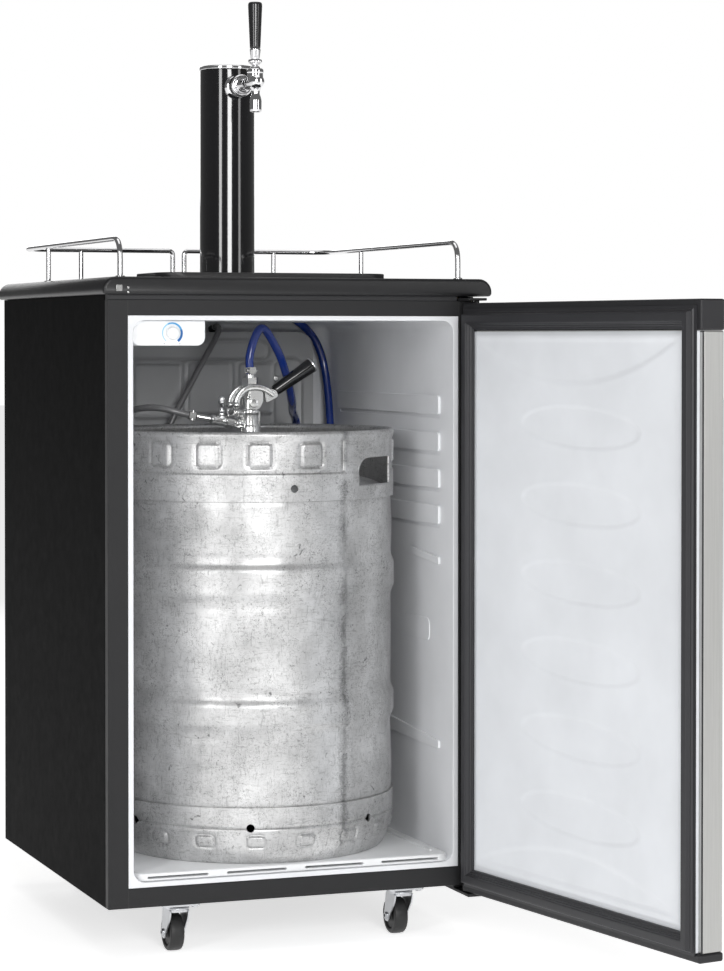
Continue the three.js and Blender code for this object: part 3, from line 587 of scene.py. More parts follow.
def area_light(name, place, target, width, height, power):
    data = bpy.data.lights.new(name, "AREA")
    data.shape = "RECTANGLE"
    data.size, data.size_y = width, height
    data.energy = power
    made = add_object(name, data)
    made.location = place
    direction = Vector(target) - Vector(place)
    made.rotation_euler = direction.to_track_quat("-Z", "Y").to_euler()


def studio():
    """Soft boxes, and a world that is white to the camera and dim as a light."""
    area_light("left_box", (-3.4, -3.0, 1.6), (0, 0, 0.55), 0.9, 2.4, 46)
    area_light("front_box", (-0.7, -4.8, 1.9), (0, 0, 0.5), 1.5, 1.8, 100)
    area_light("right_box", (2.4, -3.2, 1.6), (0, 0.1, 0.6), 0.7, 2.0, 14)
    area_light("top_box", (0, 0.2, 3.4), (0, 0, 0.8), 2.2, 2.2, 16)
    area_light("back_box", (0.8, 4.2, 2.2), (0, 0, 0.6), 2.2, 2.0, 25)
    world = bpy.data.worlds.new("world")
    bpy.context.scene.world = world
    world.use_nodes = True
    tree = world.node_tree
    back = tree.nodes["Background"]
    back.inputs["Color"].default_value = (1, 1, 1, 1)
    seen = tree.nodes.new("ShaderNodeLightPath")
    level = tree.nodes.new("ShaderNodeMapRange")
    level.inputs["To Min"].default_value = 0.14
    level.inputs["To Max"].default_value = 1.0
    tree.links.new(seen.outputs["Is Camera Ray"], level.inputs["Value"])
    tree.links.new(level.outputs["Result"], back.inputs["Strength"])
    bpy.context.scene.view_settings.view_transform = "Standard"


def floor():
    look = Look("floor", (0.93, 0.93, 0.93), 0.8)
    cloud = look.noise(0.5, 2)
    look.color(look.mix(cloud, (0.92, 0.92, 0.92), (0.94, 0.94, 0.94)))
    look.shader.inputs["Emission Color"].default_value = (1, 1, 1, 1)
    look.shader.inputs["Emission Strength"].default_value = 0.68
    mesh = bpy.data.meshes.new("floor")
    reach = 30
    mesh.from_pydata([(-reach, -reach, 0), (reach, -reach, 0), (reach, reach, 0), (-reach, reach, 0)], [],
                     [(0, 1, 2, 3)])
    mesh.materials.append(look.material)
    add_object("floor", mesh)


# ---------- Cabinet ----------
CABINET = "cabinet"
LINER = {"half": 227, "back": 500, "floor": 102, "ceiling": 842, "step_front": 406, "step_top": 300}


def cabinet_panels():
    recast("cabinet_shell", black_paint, CABINET, 1.2)
    recast("front_frame", frame_paint, CABINET, 1.0)
    recast("base_pan", black_paint, CABINET, 0.5)
    recast("back_panel", black_paint, CABINET, 0.5)
    recast("power_inlet", cap_plastic, CABINET, 0.8)
    nodes["insulation_foam"].data.materials.clear()
    nodes["insulation_foam"].data.materials.append(foam_yellow)
    pins = [rod(1.2, (-224 + dx, 581, 298 + dz), (-224 + dx, 584, 298 + dz), sides=12)
            for dx, dz in ((-7, -3), (7, -3), (0, 4))]
    make("power_inlet_pins", merge(*pins), clamp_steel, CABINET)
    screws = [screw((x, 570.4, z), (0, 1, 0)) for x in (-240, -80, 80, 240) for z in (290, 560, 850)]
    make("back_screws", merge(*screws), zinc, CABINET)


def frame_joints():
    """The dark lines where the header and the sill meet the two full-height stiles."""
    low, high = measured("front_frame")
    lines = []
    for side in (-1, 1):
        for z0, z1 in ((low.z + 0.5, 95), (848.5, high.z - 0.5)):
            lines.append(block((side * 234.5 - 0.5, side * 234.5 + 0.5), (-0.12, 1), (z0, z1)))
    make("frame_joint_lines", merge(*lines), tyre_rubber, CABINET)


def hinge_plugs():
    """The left-hand hinge's unused holes, plugged."""
    plug = block((-252.5, -244.5), (-9.3, -7.5), (880, 888))
    dots = [rod(1.6, (x, -7.6, z), (x, -9, z), sides=16) for x, z in ((-236, 884.5), (-236, 878.6))]
    make("hinge_plugs", merge(plug, *dots), clamp_steel, CABINET, bevel=0.4)


SHELF_RIDGES = (712, 661, 610, 560)
RIDGE_FRONT = 48
LINER_CORNER = 16


def stepped_room(front):
    """The liner's inside as an open surface: round corners, and a step over the compressor."""
    half, back = LINER["half"], LINER["back"]
    low, high = LINER["floor"], LINER["ceiling"]
    outline = [(front, low), (LINER["step_front"], low), (LINER["step_front"], LINER["step_top"]),
               (back, LINER["step_top"]), (back, high), (front, high)]
    work = bmesh.new()
    rings = [[work.verts.new((x, y, z)) for y, z in outline] for x in (-half, half)]
    count = len(outline)
    for i in range(count - 1):
        work.faces.new((rings[0][i], rings[0][i + 1], rings[1][i + 1], rings[1][i]))
    work.faces.new(rings[0])
    work.faces.new(rings[1])
    work.verts.ensure_lookup_table()
    step = Vector((LINER["step_front"], LINER["step_top"]))
    at_front = [e for e in work.edges if all(v.co.y <= front for v in e.verts)]
    at_step = [e for e in work.edges if all(v.co.yz == step for v in e.verts)]
    rounded = [e for e in work.edges if e not in at_front and e not in at_step]
    bmesh.ops.bevel(work, geom=rounded, offset=LINER_CORNER, segments=5, affect="EDGES",
                     profile=0.5)
    points = [tuple(v.co) for v in work.verts]
    work.verts.index_update()
    faces = [tuple(v.index for v in f.verts) for f in work.faces]
    work.free()
    return points, faces


def liner():
    """One vacuum-formed sheet with grooves in both side walls, and a flange round its opening."""
    half, low, high = LINER["half"], LINER["floor"], LINER["ceiling"]
    front = 2.0
    piece = make("liner_sheet", stepped_room(front), liner_plastic, CABINET, ["inner_liner"])
    thick = piece.modifiers.new("sheet", "SOLIDIFY")
    thick.thickness = 2.5 * MM
    thick.offset = 1 if liner_faces_out(piece) else -1
    apply_modifiers(piece)
    cutters = [rod(22, (0, 300, 820), (0, 300, 900))]
    for side in (-1, 1):
        wall = side * LINER["half"]
        for z in SHELF_RIDGES:
            slot = rectangle(RIDGE_FRONT, 445, z - 4.4, z + 0.6, 2.4)
            cutters.append(prism(slot, *sorted((wall - side * 4, wall + side * 1.5)), plane="yz"))
    carve(piece, cutters)
    add_bevel(piece, 0.7, 3, 40)
    flange = block((-234.2, 234.2), (0.5, front + 0.1), (95.3, 848.2))
    rim = make("liner_flange", flange, liner_plastic, CABINET)
    carve(rim, [prism(rectangle(-half, half, low, high, LINER_CORNER, 5), -5, 10, "xz")])
    add_bevel(rim, 0.7, 3, 40)


def liner_faces_out(piece):
    """True if the sheet's normals point away from the room."""
    middle = Vector(cab([(0, 200, 470)])[0])
    wall = max(piece.data.polygons, key=lambda f: f.area)
    return (wall.center - middle).dot(wall.normal) > 0


def liner_backing():
    """Thin sheets that hide the foam, which shows through small gaps at the ends of the liner's step."""
    half, back = LINER["half"], LINER["back"]
    floor_z, ceiling_z = LINER["floor"], LINER["ceiling"]
    front, top = LINER["step_front"], LINER["step_top"]
    wide = (-half - 2, half + 2)
    sheets = [block(sorted((side * (half + 1.7), side * (half + 2.6))), (3, back), (floor_z, ceiling_z))
              for side in (-1, 1)]
    sheets.append(block(wide, (front + 0.4, front + 2.4), (floor_z, top - 0.4)))
    sheets.append(block(wide, (front + 0.4, back), (top - 2.4, top - 0.4)))
    make("liner_backing", merge(*sheets), liner_plastic, CABINET)


def liner_ridges():
    """Shelf ridges formed in both side walls, with a stop, a boss and a long low rib under them."""
    ridges = []
    for side in (-1, 1):
        wall = side * LINER["half"]
        for z in SHELF_RIDGES:
            band = rectangle(RIDGE_FRONT, 450, z + 1, z + 27, 5)
            ridges.append(prism(band, *sorted((wall - side * 3.2, wall + side)), plane="yz"))
        stop = soft([(RIDGE_FRONT, 505), (150, 514), (150, 524), (RIDGE_FRONT, 516)], 3)
        low_rib = soft([(RIDGE_FRONT, 250), (380, 258), (380, 284), (RIDGE_FRONT, 262)], 4)
        boss = rectangle(86, 192, 396, 428, 10)
        for outline, rise in ((stop, 3), (low_rib, 3), (boss, 1.2)):
            ridges.append(prism(outline, *sorted((wall - side * rise, wall + side)), plane="yz"))
    make("liner_ridges", merge(*ridges), liner_plastic, CABINET, bevel=1.1, segments=3)


def countertop():
    low, high = measured("countertop")
    outline = rectangle(low.x, high.x, low.z, high.z, [0, 0, 18, 18], 10)
    top = make("countertop_skin", prism(outline, low.y, high.y, "xz"), top_plastic, CABINET, ["countertop"],
               bevel=4.5, segments=5, angle=40)
    carve_bevelled(top, [rod(22, (0, 300, 860), (0, 300, 910))])
    under = measured("front_frame")[1].z
    lip = block((-261.5, 232), (0.4, 13), (under, low.z + 1))
    make("countertop_lip", lip, cap_plastic, CABINET, bevel=0.5)


def floor_plate():
    """The raised plate under the keg, with long slots in its front and a folded edge."""
    low, high = measured("keg_floor_plate")
    outline = rectangle(low.x, high.x, low.y, high.y, 14)
    plate = make("keg_plate", prism(outline, low.z, high.z), control_plastic, CABINET, ["keg_floor_plate"],
                 bevel=2.0)
    slots = []
    for k in range(4):
        middle = -165 + 110 * k
        slots.append(prism(rectangle(middle - 42, middle + 42, low.z + 3.2, low.z + 6.4, 1.5),
                           low.y - 5, low.y + 20, "xz"))
    carve_bevelled(plate, slots)
    bead = [(low.x + 16, 14, high.z), (high.x - 16, 14, high.z), (high.x - 16, 384, high.z),
            (low.x + 16, 384, high.z)]
    path = bent([*bead, bead[0], bead[1]], 16)[9:-10]
    make("keg_plate_bead", sweep(path, circle(2.2, 10)), control_plastic, CABINET)


# ---------- Cooling ----------
def box_distance(u, v, centre, half_size, radius):
    """Distance to a rounded rectangle's edge, below 0 inside it."""
    du = np.abs(u - centre[0]) - half_size[0] + radius
    dv = np.abs(v - centre[1]) - half_size[1] + radius
    outside = np.hypot(np.maximum(du, 0), np.maximum(dv, 0))
    return outside + np.minimum(np.maximum(du, dv), 0) - radius


def formed_sheet(across, front, back, up):
    """A thin closed sheet over a grid: a shaped front, a flat back and a rim between them."""
    face = np.stack([across, front, up], axis=-1).reshape(-1, 3)
    behind = np.stack([across, 0 * across + back, up], axis=-1).reshape(-1, 3)
    columns, rows = across.shape
    grid = np.arange(columns * rows).reshape(columns, rows)
    faces = []
    for level in (0, columns * rows):
        cells = np.stack([grid[:-1, :-1], grid[1:, :-1], grid[1:, 1:], grid[:-1, 1:]], axis=-1) + level
        faces += cells.reshape(-1, 4).tolist()
    rim = [*grid[:, 0], *grid[-1, 1:], *grid[-2::-1, -1], *grid[0, -2:0:-1]]
    for a, b in zip(rim, rim[1:] + rim[:1]):
        faces.append((a, b, b + columns * rows, a + columns * rows))
    return np.concatenate([face, behind]), faces


def round_grid_corners(u, v, middle, half_size, corner):
    """Pulls a grid's four corners in to a radius."""
    for sx in (-1, 1):
        for sz in (-1, 1):
            cx = middle[0] + sx * (half_size[0] - corner)
            cz = middle[1] + sz * (half_size[1] - corner)
            du, dv = u - cx, v - cz
            away = np.hypot(du, dv)
            over = (du * sx > 0) & (dv * sz > 0) & (away > corner)
            u = np.where(over, cx + du * corner / np.maximum(away, 1e-6), u)
            v = np.where(over, cz + dv * corner / np.maximum(away, 1e-6), v)
    return u, v


def evaporator():
    """Roll-bond plate: one refrigerant channel blown up between two sheets."""
    low, high = measured("evaporator_plate")
    step = 1.8
    columns, rows = int((high.x - low.x) / step) + 1, int((high.z - low.z) / step) + 1
    u, v = np.meshgrid(np.linspace(low.x, high.x, columns), np.linspace(low.z, high.z, rows), indexing="ij")
    corner = 24
    middle = ((low.x + high.x) / 2, (low.z + high.z) / 2)
    half_size = ((high.x - low.x) / 2, (high.z - low.z) / 2)
    u, v = round_grid_corners(u, v, middle, half_size, corner)
    raised = np.zeros_like(u)
    pads = [((-164, 740), (34, 39), 7), ((-53, 741), (38, 40), 7), ((28, 744), (35, 38), 7),
            ((100, 744), (28, 38), 7), ((-150, 640), (48, 44), 8), ((-40, 640), (48, 44), 8),
            ((70, 640), (48, 44), 8), ((-30, 800), (150, 14), 13), ((150, 700), (22, 88), 16)]
    for centre, half_pad, radius in pads:
        edge = box_distance(u, v, centre, half_pad, radius)
        raised = np.maximum(raised, 1.7 * np.exp(-((edge / 2.4) ** 2)))
    front = low.y + 0.2 - raised
    make("evaporator_sheet", formed_sheet(u, front, low.y + 2.6, v), plate_metal, CABINET,
         ["evaporator_plate"])
    places = [(x, z) for x in (low.x + 25, high.x - 60) for z in (low.z + 25, high.z - 70)]
    pegs = [rod(5, (x, low.y + 1, z), (x, LINER["back"] - 1, z)) for x, z in places]
    heads = [screw((x, low.y, z), (0, -1, 0), 5) for x, z in places]
    make("evaporator_fixings", merge(*pegs, *heads), clamp_steel, CABINET)


DIAL_X, DIAL_Z = -171, 825


def on_dial(radius, angle, y):
    return DIAL_X + radius * math.cos(angle), y, DIAL_Z + radius * math.sin(angle)


def control_box():
    low, high = measured("thermostat_housing")
    outline = rectangle(low.x, high.x, low.z, high.z, [11, 11, 0, 0], 8)
    body = make("control_housing", prism(outline, low.y, high.y, "xz"), control_plastic, CABINET,
                ["thermostat_housing"], bevel=1.6, segments=4, angle=40)
    carve_bevelled(body, [rod(3.3, (DIAL_X, 5, DIAL_Z), (DIAL_X, 24, DIAL_Z), sides=24)])
    turns = [math.radians(232 - 285 * k / 47) for k in range(48)]
    for part, (first, last) in enumerate(((0, 20), (19, 36), (35, 48))):
        ring = [on_dial(13.2, a, 9.7) for a in turns[first:last]]
        wide = [0.35 + 1.15 * (first + k) / 47 for k in range(len(ring))]
        make(f"dial_arc_{part}", sweep(ring, rectangle(-0.25, 0.25, -1.1, 1.1, 0), (0, 1, 0), wide),
             dial_blues[part], CABINET)
    ticks = [rod(0.5, on_dial(17, a, 9.9), on_dial(18.6, a, 9.9), sides=8, edge=0.1)
             for a in (turns[0], turns[-1])]
    make("dial_ticks", merge(*ticks), lamp_grey, CABINET)


def knob():
    flutes = lambda angle, height, radius: np.where(radius > 6, 0.22 * np.cos(angle * 24), 0)
    profile = soft([(0, 0.2), (8.4, 0.2), (8.1, 5.2), (7.2, 6.4), (0, 6.6)], 0.8)
    dial = aimed(lathe(profile, sides=144, swell=flutes), (DIAL_X, 9.5, DIAL_Z), (0, -1, 0))
    shaft = rod(3, (DIAL_X, 9, DIAL_Z), (DIAL_X, 22, DIAL_Z))
    pointer = block((DIAL_X - 0.9, DIAL_X + 0.9), (2.5, 4), (DIAL_Z + 0.5, DIAL_Z + 6.5))
    make("knob_skin", merge(dial, shaft, pointer), control_plastic, "thermostat_dial", ["thermostat_knob"])


def compressor():
    x, y = -70, 501
    low = 70.8
    profile = [(0, low + 20), (44, low + 21), (56, low + 34), (58.5, low + 62), (58.5, low + 66),
               (60.5, low + 67), (60.5, low + 72), (58, low + 73), (57, low + 106), (44, low + 130),
               (20, low + 140),
               (0, low + 142)]
    dome = lathe(soft(profile, 8, 6), x, y, 64)
    feet = prism(rectangle(x - 78, x + 78, y - 40, y + 40, 16), low + 15, low + 18)
    bushes = [lathe(soft([(0, low), (10, low), (9, low + 7), (10, low + 14), (7, low + 20),
                          (0, low + 20)], 1.5),
                    x + dx, y + dy, 24) for dx in (-66, 66) for dy in (-28, 28)]
    cover = block((x + 50, x + 76), (y - 22, y + 22), (low + 40, low + 96))
    pipes = [sweep(catmull([(x - 30, y + 40, low + 120), (x - 40, y + 55, low + 160),
                            (x - 90, y + 62, low + 190),
                            (x - 140, y + 70, low + 196)], 8), circle(3.2)),
             sweep(catmull([(x + 20, y + 45, low + 110), (x + 30, y + 62, low + 150),
                            (x + 70, y + 70, low + 185)], 8),
                   circle(4))]
    make("compressor_dome", merge(dome, feet), black_paint, CABINET, ["compressor"],
         bevel=0.6)
    make("compressor_bushes", merge(*bushes), tyre_rubber, CABINET)
    make("compressor_cover", cover, cap_plastic, CABINET, bevel=3)
    make("compressor_pipes", merge(*pipes), copper, CABINET)


def bay_lining():
    """Thin sheet over the foam round the compressor."""
    half, front, top, low, back = 225, 434, 272, 73, 568
    sheets = [block(sorted((side * (half - 0.2), side * (half - 1))), (front + 1, back), (low, top - 1))
              for side in (-1, 1)]
    sheets.append(block((1 - half, half - 1), (front + 0.2, front + 1), (low, top - 1)))
    sheets.append(block((1 - half, half - 1), (front + 1, back), (top - 1, top - 0.2)))
    make("bay_lining", merge(*sheets), zinc, CABINET)


def condenser():
    """Serpentine tube with close wires across it, held off the back by two channels."""
    low, high = measured("condenser_coil")
    y = low.y + 10
    left, right = low.x + 2.5, high.x - 2.5
    corners = []
    lowest_run, run_gap = 330, 60
    for row in range(8):
        z = lowest_run + run_gap * row
        ends = (left, right) if row % 2 == 0 else (right, left)
        corners += [(ends[0], y, z), (ends[1], y, z)]
    tube = sweep(bent(corners, 14, 6), circle(2.5, 12), up=(0, 1, 0))
    wires = [rod(0.8, (x, y + 3.2, 322), (x, y + 3.2, 758), sides=8, edge=0.2)
             for x in np.arange(left + 12, right - 8, 9)]
    rails = [block((x, x + 16), (low.y, y - 1), (low.z, high.z)) for x in (left + 38, right - 58)]
    make("condenser_tube", tube, black_paint, CABINET, ["condenser_coil"])
    make("condenser_wires", merge(*wires), black_paint, CABINET)
    make("condenser_rails", merge(*rails), black_paint, CABINET, bevel=1)


# ---------- Guard rails ----------
TOP_Z = 899.3


def guard_rails():
    for side, name in ((-1, "left"), (1, "right")):
        x, height, foot, back = side * 240, 950, TOP_Z, 538
        corners = [(x, 17, foot), (x, 17, height), (x, back, height), (side * 9, back, height),
                   (side * 9, back, foot)]
        tubes = [sweep(bent(corners, (28, 40, 7), 10), circle(3.6, 20), up=(1, 0.3, 0)),
                 sweep([(x, 391, foot), (x, 391, height)], circle(3.3, 20), up=(1, 0, 0)),
                 sweep([(side * 152, back, foot), (side * 152, back, height)], circle(3.3, 20),
                       up=(1, 0, 0))]
        feet = [lathe(soft([(0, foot - 0.2), (6.2, foot - 0.2), (6.2, foot + 1.2), (3.4, foot + 2.4),
                            (0, foot + 2.4)], 0.6), px, py, 32)
                for px, py in ((x, 17), (x, 391), (side * 152, back), (side * 9, back))]
        make(f"rail_{name}", merge(*tubes, *feet), chrome, CABINET, [f"guard_rail_{name}"])


# ---------- Tower and tap ----------
TOWER_Y, TAP_Z, TAP_Y = 300, 1175, 174


def tower():
    wall = 2
    profile = [(39 - wall, TOP_Z), (52, TOP_Z), (52, 903.2), (44, 905), (39.6, 907.5), (39, 911),
               (39, 1201),
               (39 - wall, 1201)]
    column = make("tower_skin", lathe(soft(profile, 1.2, 3), 0, TOWER_Y, 128), tower_black, CABINET,
                  ["tower_column"])
    carve(column, [rod(12, (0, TOWER_Y, TAP_Z), (0, TOWER_Y - 60, TAP_Z), sides=48)])
    bolts = [screw((46.5 * math.cos(a), TOWER_Y + 46.5 * math.sin(a), 904.6), (0, 0, 1), 2.8)
             for a in (0.8, 2.35, 3.9, 5.5)]
    make("tower_screws", merge(*bolts), chrome, CABINET)
    cap = [(0, 1190.3), (36.5, 1190.3), (36.5, 1201.3), (40.2, 1201.3), (40.2, 1205.5), (38.4, 1207),
           (34, 1206.6), (31, 1204.8), (0, 1204.4)]
    make("tower_cap_skin", lathe(soft(cap, 0.9), 0, TOWER_Y, 128), chrome, CABINET, ["tower_cap"])


def along_tap(profile, y, sides=64, swell=None):
    """A turned part about the shank's line, its profile measured forward from y."""
    return aimed(lathe(soft(profile, 0.5), sides=sides, swell=swell), (0, y, TAP_Z), (0, -1, 0))


def tap():
    knurl = lambda angle, height, radius: np.where(radius > 14.8, 0.45 * np.abs(np.sin(angle * 22)) - 0.3,
                                                   0)
    wall = TOWER_Y - 39
    collar = along_tap([(0, -2), (17, -2), (17, 2.4), (15, 6.4), (12.5, 8), (0, 8)], wall)
    threads = [(11 + (0.55 if k % 2 else 0), 1.1 * k) for k in range(14)]
    shank = along_tap([(0, -16), *[(r, z - 8) for r, z in threads], (0, 7)], 252)
    ring = along_tap([(0, 0), (14, 0), (15.6, 1.6), (15.6, 14), (14, 16), (0, 16)], 246, 176, knurl)
    inner = along_tap([(0, -6), (11, -6), (11, 0), (0, 0)], 270)
    tail = sweep(bent([(0, 274, TAP_Z), (0, 292, TAP_Z), (0, 292, 1148.6)], 6, 6), circle(4.2, 24),
                 up=(1, 0, 0))
    make("shank_skin", merge(collar, shank, ring, inner, tail), chrome, CABINET, ["faucet_shank"])
    barrel = along_tap([(0, 0), (10.6, 0), (10.6, 4), (9.2, 7), (8.6, 20), (9.4, 34), (10.4, 44),
                        (10.4, 60),
                        (9, 67), (5, 70.5), (0, 71.5)], 227.7)
    nose = along_tap([(0, 0), (6.4, 0), (6.4, 3), (5.2, 5), (3.2, 5.6), (0, 5.8)], 163)
    bonnet = lathe(soft([(0, TAP_Z), (11, TAP_Z), (11, 1187), (11.6, 1188), (11.6, 1191.5), (10.2, 1193.4),
                         (0, 1193.4)], 0.7), 0, TAP_Y, 64)
    spout = lathe(soft([(4.6, 1132.8), (7.4, 1132.8), (8.2, 1136), (8.3, 1149), (7.2, 1154), (5.6, 1158),
                        (5.8, 1163), (8, 1167), (8, 1172), (4.6, 1172)], 1.2), 0, TAP_Y - 2, 64)
    make("faucet_skin", merge(barrel, nose, bonnet, spout), chrome, CABINET, ["faucet_body"])
    # A dark plug filling the spout's bore: painted shade, standing in for the shadow inside the spout's mouth.
    inside = lathe([(0, 1134), (4.7, 1134), (4.7, 1158), (0, 1158)], 0, TAP_Y - 2, 32)
    make("spout_bore_painted_shade", inside, tyre_rubber, CABINET)


def tap_lever():
    flutes = lambda angle, height, radius: np.where((radius > 6.6) & (height < 1206),
                                                    0.3 * np.cos(angle * 20), 0)
    collar = lathe(soft([(0, 1201), (8.8, 1201), (9.4, 1203), (8.8, 1206), (5, 1207.3), (0, 1207.3)], 0.8),
                   0, TAP_Y, 120, flutes)
    dome = lathe(soft([(0, 1197.6), (6, 1198.6), (6.3, 1200.2), (5.4, 1201.6), (0, 1201.8)], 0.6), 0,
                 TAP_Y, 64)
    ferrule = lathe(soft([(0, 1206), (5.6, 1206), (6.2, 1208), (7.6, 1219), (7.6, 1220.7), (0, 1220.7)],
                         0.5),
                    0, TAP_Y, 64)
    ball = sphere(7.9, (0, TAP_Y, 1191))
    make("lever_skin", merge(ball, dome, collar, ferrule), chrome, "tap_lever", ["faucet_lever"])
    profile = [(0, 1221), (7.3, 1221), (7.6, 1226), (9.9, 1280), (9.9, 1283), (8.6, 1285.6), (0, 1286)]
    handle = lathe(soft(profile, 1.4, 4), 0, TAP_Y, 96)
    make("handle_skin", handle, handle_plastic, "tap_lever", ["tap_handle"])


def drip_tray():
    low, high = measured("drip_tray")
    radius = 34

    def outline(inset):
        return rectangle(low.x + inset, high.x - inset, low.y + inset, high.y - inset, radius - inset, 12)

    tray = make("tray_skin", prism(outline(0), low.z, high.z), tray_plastic, "tray", ["drip_tray"],
                bevel=1.4, segments=3)
    carve_bevelled(tray,
                   [prism(outline(6), low.z + 2, high.z + 4), prism(outline(3), high.z - 1.5, high.z + 2)])
    base, top = measured("drip_grate")
    grate = make("grate_skin", prism(outline(3.4), base.z, top.z), grate_plastic, "grate", ["drip_grate"])
    slots = []
    for k in range(-13, 14):
        x = k * 11.5
        for y0, y1 in ((low.y + 16, low.y + 71), (low.y + 79, high.y - 16)):
            slots.append(prism(rectangle(x - 3, x + 3, y0, y1, 2.9, 5), base.z - 2, top.z + 2))
    carve(grate, slots)


# ---------- Keg ----------
PAD_START, PAD_STEP, HAND_HOLE = 6.0, 20.6, 42


def smooth_step(value):
    value = np.clip(value, 0, 1)
    return value * value * (3 - 2 * value)


def dents(angle, height):
    """The slow waves of a knocked-about drum."""
    a, z = angle, height / 100
    return 0.35 * (np.sin(3 * a + 2.1 * z) + np.sin(7 * a - 3.7 * z + 1) + 0.7 * np.sin(11 * a + 5.3 * z + 2)
                   + 0.5 * np.sin(17 * a - 7.9 * z))


def turn_from(angle, degrees):
    """How far round the keg from a direction, in degrees from -180 to 180."""
    return (np.degrees(angle) - degrees + 180) % 360 - 180


def keg_shell():
    def swell(angle, height, radius):
        side = smooth_step((radius - 180) / 12)
        rings = sum(4.4 * smooth_step((height - low) / 14) * smooth_step((high - height) / 14)
                    for low, high in ((463, 519), (288, 338)))
        beads = sum(-0.4 * np.exp(-(((height - z) / 4) ** 2)) for z in (525, 457, 344, 282))
        weld = 0.5 * np.exp(-((turn_from(angle, WELD_ANGLE) / 0.7) ** 2))
        return side * (rings + beads + weld + dents(angle, height))

    walls = [(KEG_RADIUS - 0.6, z) for z in np.arange(594, 194, -2.2)]
    top = soft([(30, 664), (30, 652), (100, 640), (178, 618), (196.4, 606), (196.4, 598)], 12, 5,
               closed=False)
    low = soft([(196.4, 192), (196.4, 184), (168, 168), (0.01, 152)], 8, 5, closed=False)
    inner = [(0.01, 154.5), (166, 171), (194, 187), (194, 600), (174, 616), (98, 637), (27.5, 650),
             (27.5, 664)]
    make("keg_drum", lathe([*top, *walls, *low, *inner], 0, KEG_Y, 420, swell), keg_steel, CABINET,
         ["keg_shell"], angle=50)


def pads(angle, height, centre_z, half_height, half_width, start, step):
    """Pressed pads in a row: a raised face inside a sunk border."""
    local = (turn_from(angle, 0) - start + step / 2) % step - step / 2
    edge = box_distance(np.radians(local) * KEG_RADIUS, height, (0, centre_z), (half_width, half_height), 5)
    return 1.6 * smooth_step(-edge / 2) - 2.0 * np.exp(-(((edge - 1.6) / 1.5) ** 2))


def top_chime():
    def swell(angle, height, radius):
        outer = smooth_step((radius - 198.8) / 0.6)
        away = np.minimum(np.abs(turn_from(angle, HAND_HOLE)), np.abs(turn_from(angle, HAND_HOLE + 180)))
        plain = smooth_step((away - 21) / 1.2)
        row = pads(angle, height, 662, 15.5, 15.5, PAD_START, PAD_STEP)
        lines = -1.8 * np.exp(-(((height - 638.5) / 1.5) ** 2)) - 1.2 * np.exp(-(((height - 683.5) / 1.3) ** 2))
        panel_end = -1.8 * np.exp(-(((away - 21.5) / 0.45) ** 2)) * (height > 638) * (height < 684)
        step = 1.0 * smooth_step((638.5 - height) / 3)
        return outer * (plain * (row + lines) + panel_end + step + 0.5 * dents(angle, height))

    faces_up = [(200, z) for z in np.arange(600, 680, 1.8)]
    rim = [(200.4, 681), (201.8, 684), (202.2, 688), (201.2, 691.4), (198.6, 693), (194.8, 692),
           (192.8, 689),
           (193.4, 685.6), (195.6, 683)]
    inner = [(197, 676), (197, 599.8)]
    profile = [(200, 599.8), *faces_up, *rim, *inner]
    chime = make("keg_collar", lathe(profile, 0, KEG_Y, 540, swell), keg_steel, CABINET, ["keg_top_chime"],
                 angle=50)
    hand_holes = ((HAND_HOLE, rectangle(-46, 46, 617, 657, [3, 3, 3, 22])),
                  (HAND_HOLE + 180, rectangle(-46, 46, 617, 657, [3, 3, 22, 3])))
    holes = [round_the_keg(prism(outline, -215, -180, "xz"), turn) for turn, outline in hand_holes]
    holes += [round_the_keg(aimed(lathe([(0, -20), (5.4, -20), (5.4, 20), (0, 20)], sides=32),
                                  (0, -200, 617),
                                  (0, -1, 0)), turn) for turn in (-1.3, 118, 238)]
    carve(chime, holes, 50)
    lips = []
    for turn, outline in hand_holes:
        edge = [(x, -math.sqrt(199 ** 2 - x * x), z) for x, z in outline]
        lips.append(round_the_keg(sweep([*edge, *edge[:2]], circle(1.7, 8), up=(0, 1, 0.1)), turn))
    make("keg_hand_hole_lips", merge(*lips), keg_steel, CABINET)


def round_the_keg(part, degrees):
    """A part laid out in front of the keg's axis, turned round it and put in place."""
    points, faces = part
    a = math.radians(degrees)
    x, y = points[:, 0], points[:, 1]
    turned = np.stack([x * math.cos(a) - y * math.sin(a), x * math.sin(a) + y * math.cos(a) + KEG_Y,
                       points[:, 2]], axis=-1)
    return turned, faces


def bottom_chime():
    def swell(angle, height, radius):
        outer = smooth_step((radius - 190) / 6)
        row = 0.9 * pads(angle, height, 144.5, 7.5, 12.5, 4.2, 20.4)
        line = -1.8 * np.exp(-(((height - 163) / 1.5) ** 2))
        return outer * (row + line + 0.4 * dents(angle, height))

    wall = [(200, z) for z in np.arange(190, 158, -1.5)]
    curve = catmull([(199.4, 157), (198.4, 151), (196.6, 143), (194.2, 134), (190.4, 124), (186, 116),
                     (183, 113.4),
                     (180.6, 114.4), (180, 117)], 6)
    inner = [(184, 126), (193, 150), (197, 160), (197, 190.4)]
    profile = [(200, 190.4), *wall, *curve, *inner]
    chime = make("keg_foot", lathe(profile, 0, KEG_Y, 540, swell), keg_steel, CABINET, ["keg_bottom_chime"],
                 angle=50)
    hole = aimed(lathe([(0, -20), (5.6, -20), (5.6, 20), (0, 20)], sides=32), (0, -199, 163.5), (0, -1, 0))
    carve(chime, [round_the_keg(hole, turn) for turn in (-70, -18.4, 35.4, 90, 144, 198, 252)], 50)


def keg_neck():
    profile = [(0, 200), (6, 200), (6, 640), (27, 642), (27, 660), (25, 664), (16, 664), (15, 661),
               (15, 656),
               (0, 656)]
    make("neck_valve_skin", lathe(soft(profile, 1.2), 0, KEG_Y, 64), chrome, CABINET, ["keg_valve"])


